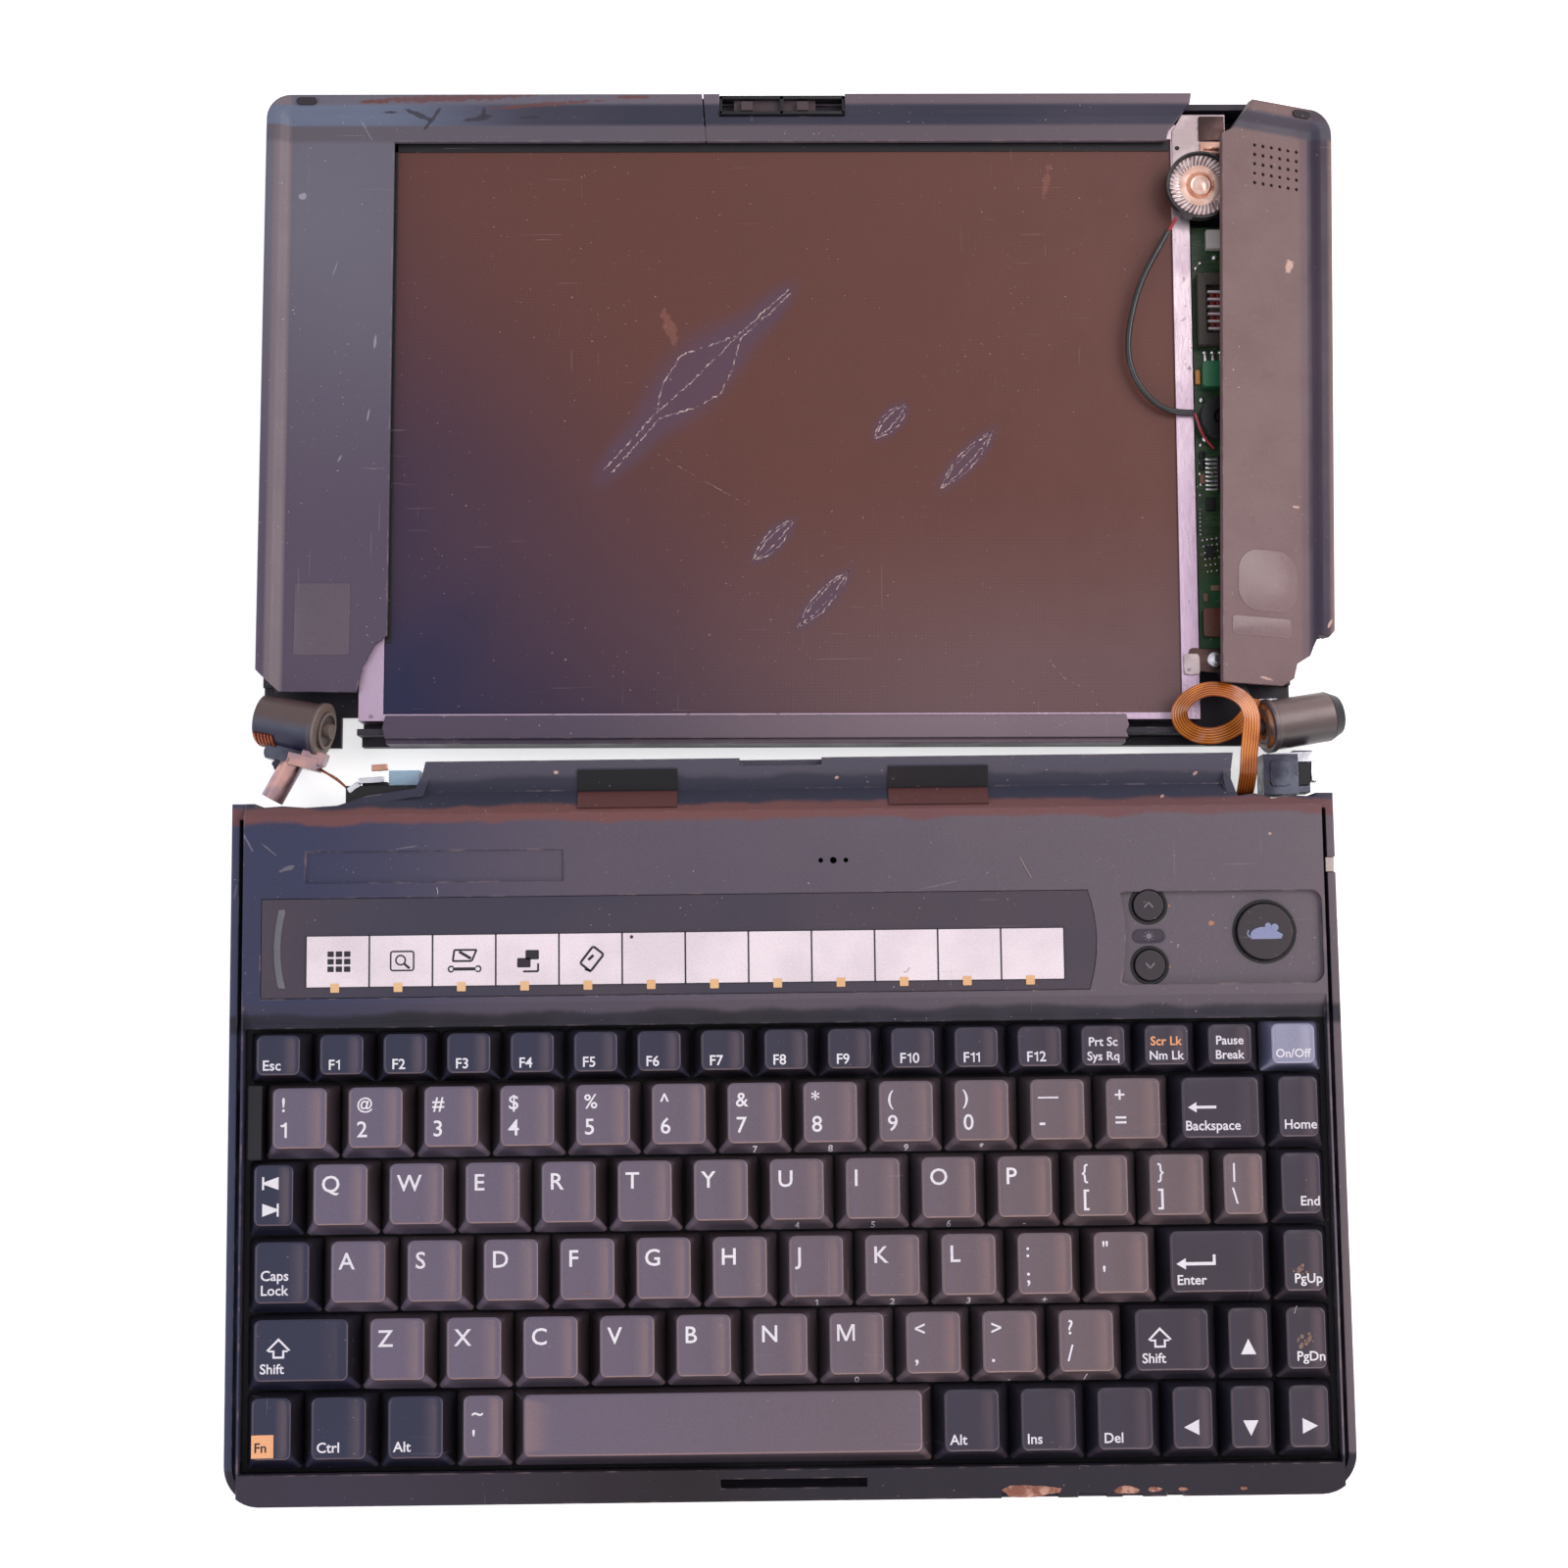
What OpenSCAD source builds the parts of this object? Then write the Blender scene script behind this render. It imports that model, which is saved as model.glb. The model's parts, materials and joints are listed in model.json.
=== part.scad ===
// Clamshell notebook computer, broken at both hinges. The lid lies opened flat on its back behind the
// base. x runs to the right, y from the base's front edge to the lid's far edge, z up from the table.

/* [Base] */
// Width of the base
base_w = 282; // [278:0.5:340]
// Depth of the base, front to rear
base_d = 185; // [184:0.5:225]
// Height of the deck above the table
deck_z = 26; // [25:0.5:31]
// Height of the seam between the base tray and its top cover
seam_z = 14; // [13.5:0.5:14]
// Thickness of the moulded walls
wall = 2; // [1.4:0.1:2.2]
// Thickness of the deck plate
deck_t = 2.5; // [1.8:0.1:2.8]
// Radius of the front corners, seen from above
front_corner_r = 9.5; // [6:0.5:12]
// Height of the rubber feet
foot_h = 1.5; // [1:0.1:1.8]
// Radius of the rubber feet
foot_r = 6; // [4:0.5:8]

/* [Keyboard] */
// Distance between the centres of two letter keys
key_pitch = 19.05; // [17:0.05:19.2]
// Distance between the centres of two narrow keys
narrow_pitch = 14.45; // [13:0.05:14.6]
// Gap between the skirts of neighbouring keys
key_gap = 0.55; // [0.3:0.05:0.9]
// Depth of a cap in the function row
fn_cap_d = 12.7; // [10:0.1:12.9]
// Height of a key cap
cap_h = 5.5; // [4.5:0.1:6.5]
// Wall of a key cap
cap_wall = 1.1; // [0.8:0.1:1.4]
// How far a key goes down
key_travel = 3; // [2:0.1:3.2]
// Width of a key's square stem
stem_w = 4; // [3:0.1:5]
// Clearance round a stem in the guide plate
stem_gap = 0.4; // [0.3:0.05:0.6]
// Distance from the base's front edge to the front row
keys_front = 8.6; // [7.5:0.1:10]

/* [Deck controls] */
// Radius of the two brightness buttons
small_button_r = 3.8; // [3:0.1:4.4]
// Radius of the round eject button
eject_button_r = 7; // [5.5:0.1:8]
// Clearance round a button in its hole
button_gap = 0.3; // [0.2:0.05:0.5]
// How far the brightness buttons go down
small_travel = 1; // [0.6:0.1:1.4]
// Depth of the control recess
recess_d = 1.2; // [0.8:0.1:1.3]

/* [Lid] */
// How much narrower the lid is than the base
lid_narrower = 8; // [6:0.5:9]
// Depth of the lid from its hinge end to its far edge
lid_d = 176; // [170:0.5:212]
// Height of the lid's face above the table
lid_h = 14; // [13.4:0.1:16]
// Gap between the base's rear edge and the lid
lid_gap = 5.5; // [4.5:0.1:9]
// Angle by which the torn lid is turned clockwise
lid_yaw = 0.5; // [0:0.1:1.5]
// Radius of the lid's far corners
lid_corner_r = 6.5; // [4:0.5:9]
// Width of the visible part of the screen
screen_w = 209.5; // [174:0.5:210]
// Height of the visible part of the screen
screen_h = 155.8; // [129:0.2:156]
// Angle of the broken bezel piece from flat
side_tilt = 20; // [16:0.5:22]
// Width of the broken bezel piece
side_w = 33.5; // [28:0.5:34]
// Angle by which the broken bezel piece is turned clockwise on the lid
side_yaw = 1.2; // [0:0.1:1.5]
// Depth of the bezel's outer skirt
skirt_h = 10; // [8:0.2:10]

/* [Hinges and speaker] */
// Radius of the hinge barrels
barrel_r = 6.6; // [5.5:0.1:6.8]
// Length of the hinge barrels
barrel_l = 16; // [14:0.5:17.5]
// Radius of the speaker
speaker_r = 9.2; // [7.6:0.1:9.4]
// Thickness of the speaker
speaker_h = 4.4; // [3.6:0.1:5.2]
// Diameter of the speaker wire's sleeve
sleeve_dia = 1.6; // [1.2:0.1:1.8]

/* [Hidden] */

$fn = 48;
eps = 0.01;
fit = 0.3;

plastic = [0.27, 0.25, 0.29];
modifier_grey = [0.19, 0.19, 0.25];
letter_grey = [0.4, 0.37, 0.39];
silver = [0.8, 0.76, 0.84];
black = [0.08, 0.08, 0.09];
board_green = [0.12, 0.3, 0.2];

rear_corner_r = 5;

// Heights inside the base.
floor_z = foot_h + wall;
board_z = floor_z + 2.5;
board_t = 1.6;
plate_t = 2;
plate_z = seam_z + 1.5;
cap_z = plate_z + plate_t + key_travel + 0.5;
inner_top_z = plate_z - key_travel - 0.1;
deck_under_z = deck_z - deck_t;
rail_z = deck_z - 2.5;
ledge_w = 3;

// Plan of the keyboard.
keys_w = 12 * key_pitch + 3 * narrow_pitch;
keys_x0 = -keys_w / 2;
fn_pitch = keys_w / 17;
keys_rear = keys_front + 5 * key_pitch + fn_cap_d;
well_gap = 0.9;
filler_pitch = 4.05;
backspace_pitch = 2 * narrow_pitch - filler_pitch;
wide_pitch = 2 * narrow_pitch;
right_shift_pitch = 2 * key_pitch - narrow_pitch;
space_pitch = keys_w - 5 * key_pitch - 5 * narrow_pitch;
two_stems_from = 22;
KEY_ROWS = [
  [for (i = [1:17]) fn_pitch],
  concat([for (i = [1:12]) key_pitch], [backspace_pitch, narrow_pitch]),
  concat([narrow_pitch], [for (i = [1:12]) key_pitch], [narrow_pitch, narrow_pitch]),
  concat([for (i = [1:12]) key_pitch], [wide_pitch, narrow_pitch]),
  concat([wide_pitch], [for (i = [1:10]) key_pitch], [right_shift_pitch, narrow_pitch, narrow_pitch]),
  [narrow_pitch, key_pitch, key_pitch, narrow_pitch, space_pitch, key_pitch, key_pitch, key_pitch,
   narrow_pitch, narrow_pitch, narrow_pitch]
];
ROW_START = [0, filler_pitch, 0, 0, 0, 0];

// Plan of the deck behind the keyboard.
panel_y0 = keys_rear + 8.6;
panel_d = 25;
panel_x0 = keys_x0 + 3.4;
panel_x1 = base_w / 2 - 62;
panel_t = 0.7;
card_t = 0.2;
card_x0 = keys_x0 + fn_pitch - 1.2;
card_w = 12 * fn_pitch;
card_y0 = panel_y0 + 2.5;
card_d = 13.2;
recess_x0 = base_w / 2 - 57;
recess_x1 = base_w / 2 - 4.4;
recess_y0 = panel_y0 + 1;
recess_z = deck_z - recess_d;
small_button_x = recess_x0 + 8.6;
up_button_y = recess_y0 + 20;
down_button_y = recess_y0 + 4.8;
eject_x = recess_x0 + 38;
eject_y = recess_y0 + 13;
flange_t = 1.3;

// The sloping trough along the deck's rear edge.
trough_y0 = base_d - 13.5;
trough_y1 = base_d - 7.5;
trough_depth = 4.2;
pocket_y = base_d - 11.4;
pad_w = 25.6;
pad_x = 39.8;
pad_t = 0.5;

// The lid: u runs across it and v from its hinge end to its far edge.
lid_x0 = -1.3;
lid_w = base_w - lid_narrower;
lid_y0 = base_d + lid_gap;
lid_floor = 2;
lid_near_r = 3;
bezel_t = 3;
bezel_wall = 2;
lip_top = lid_h - bezel_t;
lip_gap = 0.3;
lip_t = 1.7;
rim_w = 3.2;
rim_h = 1.7;
step_w = 3.6;
screen_u0 = -102.7;
screen_u1 = screen_u0 + screen_w;
screen_v0 = 7.3;
screen_v1 = screen_v0 + screen_h;
glass_z = lip_top - 1;
frame_t = 0.6;
bracket_t = 0.35;
frame_u0 = screen_u0 - 7.5;
frame_u1 = screen_u1 + 4.7;
frame_v0 = screen_v0 - 1.2;
frame_v1 = screen_v1 + 5;
hinge_pocket_v = 16;
hinge_pocket_u = 114;
latch_u = 1.8;
latch_w = 33.8;
latch_d = 6;
latch_travel = 4;

// The broken bezel piece, in its own plane: s runs outwards from its inner edge.
side_u0 = lid_w / 2 - 20.8;
side_z0 = side_w * sin(side_tilt) + skirt_h * cos(side_tilt);
side_v0 = 14.8;
side_v1 = lid_d - 3.2;
side_corner_u = side_u0 + side_w * cos(side_tilt) * cos(side_yaw) + side_v1 * sin(side_yaw);
side_corner_v = side_v1 * cos(side_yaw) - side_w * cos(side_tilt) * sin(side_yaw);
side_outer_x = lid_x0 + side_corner_u * cos(lid_yaw) + side_corner_v * sin(lid_yaw);
side_clear_s = 24;
grille_pitch = 2.6;
grille_r = 0.46;
grille_s = 16.5;
grille_v = side_v1 - 17.4;

// The middle of the whole object in plan, which is the origin of every node.
middle_x = (side_outer_x - base_w / 2) / 2;
middle_y = (lid_y0 + lid_d * cos(lid_yaw) + lid_w / 2 * sin(lid_yaw)) / 2;

// The inverter board beside the screen.
inverter_u0 = frame_u1 + 0.6;
inverter_u1 = inverter_u0 + 20.4;
inverter_v1 = screen_v1 - 23.1;
inverter_v0 = inverter_v1 - 115;
inverter_z = 7.4;
inverter_t = 1.6;
part_z = inverter_z + inverter_t;

// The speaker lies over the frame's right strip.
speaker_u = frame_u1 + 2.3;
speaker_v = screen_v1 - 13.4;
speaker_z = lip_top;

// Hinges: each barrel lies on the lid's floor at its outer end, with its inner end tipped up.
barrel_tip = 11;
spring_room = 0.5;
barrel_z = lid_floor + barrel_r / cos(barrel_tip) + barrel_l / 2 * sin(barrel_tip) + spring_room;
left_barrel = [-base_w / 2 + 12.1, lid_y0 + 6.4, barrel_z];
left_yaw = -12;
right_barrel = [base_w / 2 - 5.2, lid_y0 + 4.2, barrel_z];
right_yaw = 9.6;
barrel_end_l = 3;
pin_r = 3;
spring_wire_r = 0.35;

// Routes of the free speaker wire, in the lid's own u, v and z.
SLEEVE_ROUTE = [
  [105.2, 137.6, 12.8], [103.6, 134.7, 12.9], [101, 130.2, 12.9], [98.6, 125.6, 12.8],
  [96.6, 120.5, 12.6], [95, 114.4, 12.5], [94, 108.4, 12.4], [94.1, 102.6, 12.3], [95.7, 97.6, 12.2],
  [98.2, 93.6, 12.1], [101.2, 90.6, 12], [104.4, 88.9, 11.9], [107.9, 88.3, 11.7], [111.2, 88.3, 11.6]
];
RED_WIRE = [[111.5, 88.2, 11.6], [112.3, 86.4, 11.5], [112.9, 84.2, 11.3], [114, 82, 10.9],
            [115.4, 80.4, 10.4], [116.4, 79.6, 9.9], [116.9, 79.2, 9.5]];
RED_END = [[105.4, 137.9, 12.8], [106.3, 139.3, 13], [107, 140.5, 13.2], [107.5, 141.3, 13.4]];
wire_r = 0.35;

FLEX_ROUTE = [
  [114.4, 193.2, 12.3], [110.2, 192.4, 12.6], [106.6, 193.6, 13.8], [104.8, 196.8, 15.4],
  [106.2, 200.4, 16.8], [110.6, 202.6, 17.4], [115.6, 201.4, 17.4], [119.4, 198.4, 17],
  [121.2, 194.6, 16.6], [121.4, 190, 17], [121.2, 185.4, 17.6], [121, 181, 17],
  [120.9, 178, 15], [120.9, 175.8, 12.4], [120.9, 175.2, 9]
];
flex_w = 4.6;
flex_t = 0.3;

// Heights of the trough's two slopes, at a distance behind where each begins.
function slope_z(d) = deck_z - trough_depth * d / (trough_y1 - trough_y0);
function rise_z(d) = deck_z - trough_depth + (trough_depth - 0.6) * d / (base_d - trough_y1);
function sum(list, n) = n <= 0 ? 0 : list[n - 1] + sum(list, n - 1);
function unit(v) = v / norm(v);
function row_y(row) = keys_front + (5 - row) * key_pitch;
function row_cap_d(row) = row == 0 ? fn_cap_d : key_pitch - key_gap;
function key_x(row, i) = keys_x0 + ROW_START[row] + sum(KEY_ROWS[row], i) + key_gap / 2;
function key_w(row, i) = KEY_ROWS[row][i] - key_gap;
function stems(w) = w < two_stems_from ? [w / 2] : [6, w - 6];

module at_origin() {
  translate([-middle_x, -middle_y, 0]) children();
}

module on_lid() {
  at_origin() translate([lid_x0, lid_y0, 0]) rotate(-lid_yaw) children();
}

module in_side_piece() {
  on_lid() translate([side_u0, 0, side_z0]) rotate(-side_yaw) rotate([0, side_tilt, 0]) children();
}

// Extrudes a y-z outline along x.
module along_x(x0, x1) {
  translate([x0, 0, 0]) rotate([90, 0, 90]) linear_extrude(x1 - x0) children();
}

module plate(x0, y0, x1, y1, z0, z1) {
  translate([x0, y0, z0]) cube([x1 - x0, y1 - y0, z1 - z0]);
}

// A rectangle with its own radius at the two near and the two far corners.
module round_rect(x0, y0, x1, y1, near_r, far_r) {
  difference() {
    translate([x0, y0]) square([x1 - x0, y1 - y0]);
    for (side = [0, 1]) {
      translate([side == 0 ? x0 : x1, y0]) mirror([side, 0]) corner_waste(near_r);
      translate([side == 0 ? x0 : x1, y1]) mirror([side, 0]) mirror([0, 1]) corner_waste(far_r);
    }
  }
}

module corner_waste(r) {
  difference() {
    translate([-1, -1]) square(r + 1);
    translate([r, r]) circle(r);
  }
}

// A box whose sides slope: low and high are [x0, y0, x1, y1] at heights z0 and z1.
module tapered(low, high, z0, z1) {
  polyhedron(
    [[low[0], low[1], z0], [low[2], low[1], z0], [low[2], low[3], z0], [low[0], low[3], z0],
     [high[0], high[1], z1], [high[2], high[1], z1], [high[2], high[3], z1], [high[0], high[3], z1]],
    [[0, 1, 2, 3], [7, 6, 5, 4], [0, 4, 5, 1], [1, 5, 6, 2], [2, 6, 7, 3], [3, 7, 4, 0]]
  );
}

// Triangles that join n rings of points into a skin.
function ring_walls(n, sides) = [for (i = [0:n - 2], k = [0:sides - 1], half = [0, 1])
  let (a = i * sides + k, b = i * sides + (k + 1) % sides)
  half == 0 ? [a, b, b + sides] : [a, b + sides, a + sides]];

// A tube along a route, with flat ends.
module tube(route, r, sides = 8) {
  n = len(route);
  rings = [for (i = [0:n - 1])
    let (along = unit(route[min(i + 1, n - 1)] - route[max(i - 1, 0)]))
    let (side = unit(cross(along, [0, 0.05, 1])))
    let (up = cross(side, along))
    for (k = [0:sides - 1])
      route[i] + r * (cos(360 * k / sides) * side + sin(360 * k / sides) * up)];
  ends = [[for (k = [0:sides - 1]) sides - 1 - k], [for (k = [0:sides - 1]) (n - 1) * sides + k]];
  polyhedron(rings, concat(ring_walls(n, sides), ends));
}

// A flat band along a route, level across its width.
module band(route, w, t) {
  n = len(route);
  rings = [for (i = [0:n - 1])
    let (along = unit(route[min(i + 1, n - 1)] - route[max(i - 1, 0)]))
    let (side = unit(cross(along, [0, 0, 1])))
    let (up = cross(side, along))
    for (c = [[-1, -1], [1, -1], [1, 1], [-1, 1]])
      route[i] + c[0] * w / 2 * side + c[1] * t / 2 * up];
  polyhedron(rings, concat(ring_walls(n, 4), [[3, 2, 1, 0], [for (k = [0:3]) (n - 1) * 4 + k]]));
}

// ---- Base ----

module base_outline(inset = 0) {
  round_rect(-base_w / 2 + inset, inset, base_w / 2 - inset, base_d - inset,
             max(front_corner_r - inset, 0.3), max(rear_corner_r - inset, 0.3));
}

screw_x = base_w / 2 - 12;
SCREWS = [[-screw_x, 66], [screw_x, 66], [-screw_x, 162], [screw_x, 162], [0, 78.5]];
screw_r = 1.3;
screw_head_r = 2.8;
screw_top_z = floor_z + 5;

module base_tray() color(plastic) at_origin() difference() {
  union() {
    translate([0, 0, foot_h]) linear_extrude(wall) housing_outline();
    translate([0, 0, floor_z]) linear_extrude(seam_z - floor_z) difference() {
      housing_outline();
      housing_outline(wall);
    }
    for (p = SCREWS) translate([p[0], p[1], floor_z]) cylinder(r = 3.6, h = screw_top_z - floor_z + 1);
    for (p = BOARD_POSTS) translate([p[0], p[1], floor_z]) cylinder(r = 3, h = board_z - floor_z);
  }
  for (p = SCREWS) translate([p[0], p[1], foot_h]) {
    translate([0, 0, -eps]) cylinder(r = screw_r + fit, h = screw_top_z - foot_h + 0.3);
    translate([0, 0, -eps]) cylinder(r = screw_head_r + fit, h = 1.1);
  }
}

module base_screws() color(silver) at_origin() for (p = SCREWS) translate([p[0], p[1], foot_h]) {
  translate([0, 0, 0.1]) cylinder(r = screw_head_r, h = 0.99);
  cylinder(r = screw_r, h = screw_top_z - foot_h);
}

module rubber_feet() color(black) at_origin()
  for (x = [-base_w / 2 + 22, base_w / 2 - 22], y = [20, base_d - 20])
    translate([x, y, 0]) cylinder(r = foot_r, h = foot_h);

// The y-z outline of the deck's rear strip with its trough.
module rear_profile() polygon([
  [trough_y0 - 4, deck_z], [trough_y0, deck_z], [trough_y1, deck_z - trough_depth],
  [base_d, deck_z - 0.6], [base_d, seam_z], [base_d - wall, seam_z],
  [base_d - wall, deck_under_z - 0.8], [trough_y1, deck_under_z - trough_depth],
  [trough_y0 - 0.8, deck_under_z], [trough_y0 - 4, deck_under_z]
]);

// The hinge pockets at both rear corners, seen from above, with their torn edges.
module hinge_pockets(grow = 0) {
  left = -base_w / 2;
  right = base_w / 2;
  polygon([
    [left - 1, pocket_y + 1.2 - grow], [left + 5.8, pocket_y + 1.2 - grow],
    [left + 6.4, pocket_y - grow], [left + 13, pocket_y + 0.5 - grow], [left + 19, pocket_y - grow],
    [left + 27, pocket_y + 0.5 - grow], [left + 34 + grow, pocket_y + 2.9 - grow],
    [left + 46.8 + grow, pocket_y + 4.8 - grow], [left + 48.6 + grow, pocket_y + 8],
    [left + 50 + grow, base_d + 1], [left - 1, base_d + 1]
  ]);
  polygon([
    [right - 25.6 - grow, base_d + 1], [right - 26 - grow, pocket_y + 5],
    [right - 24.4 - grow, pocket_y + 0.4 - grow], [right - 20, pocket_y + 1 - grow],
    [right - 16, pocket_y - 0.4 - grow], [right - 10, pocket_y + 0.3 - grow],
    [right - 5, pocket_y - grow], [right - 4.4, pocket_y + 1 - grow],
    [right + 1, pocket_y + 1 - grow], [right + 1, base_d + 1]
  ]);
}

// The base's plan: both halves of the housing follow it.
module housing_outline(inset = 0) {
  difference() {
    base_outline(inset);
    hinge_pockets(inset);
  }
}

module base_top_cover() color(plastic) at_origin() difference() {
  union() {
    translate([0, 0, deck_under_z]) linear_extrude(deck_t) intersection() {
      base_outline();
      translate([-base_w / 2, 0]) square([base_w, trough_y0 - 3]);
    }
    translate([0, 0, seam_z]) linear_extrude(deck_under_z - seam_z) difference() {
      housing_outline();
      housing_outline(wall);
    }
    along_x(-base_w / 2 + wall, base_w / 2 - wall) rear_profile();
    for (s = [-1, 1]) translate([s * (base_w / 2 - wall - ledge_w / 2 + eps), 0, 0])
      plate(-ledge_w / 2, keys_front, ledge_w / 2, keys_rear + 1, seam_z, plate_z);
  }
  // Keyboard well, with a slope behind it.
  plate(keys_x0 - well_gap, keys_front - well_gap, -keys_x0 + well_gap, keys_rear + well_gap,
        plate_z + eps, deck_z + 1);
  along_x(keys_x0 - well_gap, -keys_x0 + well_gap) polygon([
    [keys_rear, deck_z + 1], [keys_rear, deck_z - 1.8], [keys_rear + 2, deck_z - 1.8],
    [keys_rear + 6.9, deck_z], [keys_rear + 6.9, deck_z + 1]
  ]);
  // Lower rails along both sides.
  for (s = [-1, 1]) translate([s * base_w / 2, 0, 0]) plate(-3.6, -1, 3.6, base_d + 1, rail_z, deck_z + 1);
  translate([0, 0, deck_z - panel_t - 0.1]) linear_extrude(2) panel_outline(0.15);
  translate([0, 0, recess_z]) linear_extrude(2) recess_outline();
  plate(-121.6, panel_y0 + 29, -56, panel_y0 + 37, deck_z - 0.5, deck_z + 1);
  // Microphone holes, latch catch slots and the notch in the rear edge.
  for (m = [[12.6, 0.85], [9.4, 0.6], [15.8, 0.6]])
    translate([m[0], panel_y0 + 33.4, deck_under_z - 1]) cylinder(r = m[1], h = deck_t + 2, $fn = 24);
  plate(-17.4, 3.2, 18.9, 5.4, deck_under_z - 1, deck_z + 1);
  plate(-11, base_d - 1.8, 10, base_d + 1, deck_under_z - 3, deck_z + 1);
  for (y = [up_button_y, down_button_y]) translate([small_button_x, y, deck_under_z - 1])
    cylinder(r = small_button_r + button_gap, h = deck_t + 2);
  translate([eject_x, eject_y, deck_under_z - 1]) cylinder(r = eject_button_r + button_gap, h = deck_t + 2);
  plate(base_w / 2 - 2.6, panel_y0 + 29, base_w / 2 + 1, panel_y0 + 33, rail_z - 1.5, rail_z + 1);
  translate([0, 0, seam_z - 1]) linear_extrude(deck_z) hinge_pockets();
  // Chips along the front edge.
  for (c = [[52, 14, 1.6], [71, 7, 1], [82, 5, 0.8], [93, 4, 0.7]])
    translate([c[0], -c[2] * 0.6, deck_z - 1.1]) rotate(-4) cube([c[1], c[2] * 2, 2]);
}

module panel_outline(grow = 0) {
  bulge_r = 40;
  intersection() {
    translate([panel_x0 - grow, panel_y0 - grow])
      square([panel_x1 - panel_x0 + 2 * grow, panel_d + 2 * grow]);
    translate([panel_x1 - bulge_r + grow, panel_y0 + panel_d / 2]) union() {
      circle(bulge_r, $fn = 96);
      translate([-base_w, -panel_d]) square([base_w, 2 * panel_d]);
    }
  }
}

module label_panel() color([0.16, 0.15, 0.19]) at_origin() {
  translate([0, 0, deck_z - panel_t - 0.1]) linear_extrude(panel_t) panel_outline();
}

module label_card() color([0.9, 0.86, 0.88]) at_origin() {
  plate(card_x0, card_y0, card_x0 + card_w, card_y0 + card_d, deck_z - 0.1, deck_z - 0.1 + card_t);
}

module recess_outline() difference() {
  round_rect(recess_x0, recess_y0, recess_x1, recess_y0 + panel_d - 1.5, 3, 3);
  translate([recess_x0 - 47.5, recess_y0 + panel_d / 2]) circle(50, $fn = 96);
}

module push_button(x, y, r, top) {
  flange_z = deck_under_z - fit - flange_t;
  translate([x, y, 0]) {
    translate([0, 0, flange_z + eps]) cylinder(r = r, h = top - flange_z);
    translate([0, 0, flange_z]) cylinder(r = r + 1, h = flange_t);
  }
}

module brightness_up_button() color(plastic) at_origin() {
  push_button(small_button_x, up_button_y, small_button_r, recess_z + 0.9);
}

module brightness_down_button() color(plastic) at_origin() {
  push_button(small_button_x, down_button_y, small_button_r, recess_z + 0.9);
}

module eject_button() color(plastic) at_origin() {
  push_button(eject_x, eject_y, eject_button_r, recess_z + 1.3);
}

module status_light() color([0.75, 0.7, 0.6]) at_origin() {
  plate(base_w / 2 - 2.4, panel_y0 + 29.2, base_w / 2 - 0.3, panel_y0 + 32.8, rail_z - 1.5, rail_z);
}

// A glossy pad lies in the trough on each side of the middle.
module glossy_pads() color(black) at_origin() for (x = [-pad_x, pad_x])
  along_x(x - pad_w / 2, x + pad_w / 2) translate([0, 0.02]) polygon([
    [trough_y0 + 1.2, slope_z(1.2) + pad_t], [trough_y1, deck_z - trough_depth + pad_t],
    [base_d - 2.6, rise_z(4.9) + pad_t], [base_d - 2.6, rise_z(4.9) + 0.02],
    [trough_y1, deck_z - trough_depth + 0.02], [trough_y0 + 1.2, slope_z(1.2) + 0.02]
  ]);

BOARD_POSTS = [[-100, 88], [0, 90], [110, 92], [-60, 166], [20, 166], [98, 166]];

module mainboard() color(board_green) at_origin() difference() {
  union() {
    translate([0, 0, board_z]) linear_extrude(board_t) difference() {
      translate([-base_w / 2 + wall + 1, 82]) square([base_w - 2 * wall - 2, base_d - wall - 82.5]);
      hinge_pockets(wall + 0.5);
    }
    translate([0, 0, board_z + board_t - eps]) {
      plate(-30, 96, 4, 130, 0, 2.2);
      plate(20, 100, 42, 122, 0, 1.9);
      plate(54, 96, 94, 108, 0, 1.7);
      plate(54, 116, 94, 128, 0, 1.7);
      plate(-64, 100, -44, 120, 0, 2);
    }
  }
  for (p = SCREWS) translate([p[0], p[1], board_z - 1]) cylinder(r = 4.4, h = 6);
}

module battery_pack() color([0.13, 0.13, 0.15]) at_origin() {
  translate([0, 0, floor_z]) linear_extrude(inner_top_z - floor_z)
    round_rect(-base_w / 2 + 8, 8, -12, 58, 3, 3);
}

module hard_drive() color(silver) at_origin() {
  plate(20, 7, 120, 58, floor_z, inner_top_z - 0.8);
  plate(26, 10, 114, 55, inner_top_z - 0.81, inner_top_z);
}

module card_cage() color(silver) at_origin() {
  translate([-125, 96, board_z + board_t]) difference() {
    cube([54, 66, inner_top_z - board_z - board_t]);
    translate([0.8, -1, 0.8]) cube([52.4, 64, inner_top_z - board_z - board_t - 1.6]);
  }
}

// Connectors that the torn pocket has bared, with a pale one above them.
module rear_connectors() color(black) at_origin() translate([-base_w / 2, pocket_y, 0]) {
  translate([0, 0, board_z]) linear_extrude(11.5) polygon([
    [27.8, 0.9], [34.1, 3.1], [45.6, 4.95], [46, 6.2], [27.8, 6.2]
  ]);
  plate(31.6, 6, 38, 7.4, board_z + 2, board_z + 9);
}

module blue_connector() color([0.66, 0.8, 0.92]) at_origin() translate([-base_w / 2, pocket_y, 0]) {
  plate(38.4, 6.5, 46.4, 10.4, board_z, board_z + 8.4);
}

// ---- Keyboard ----

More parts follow.
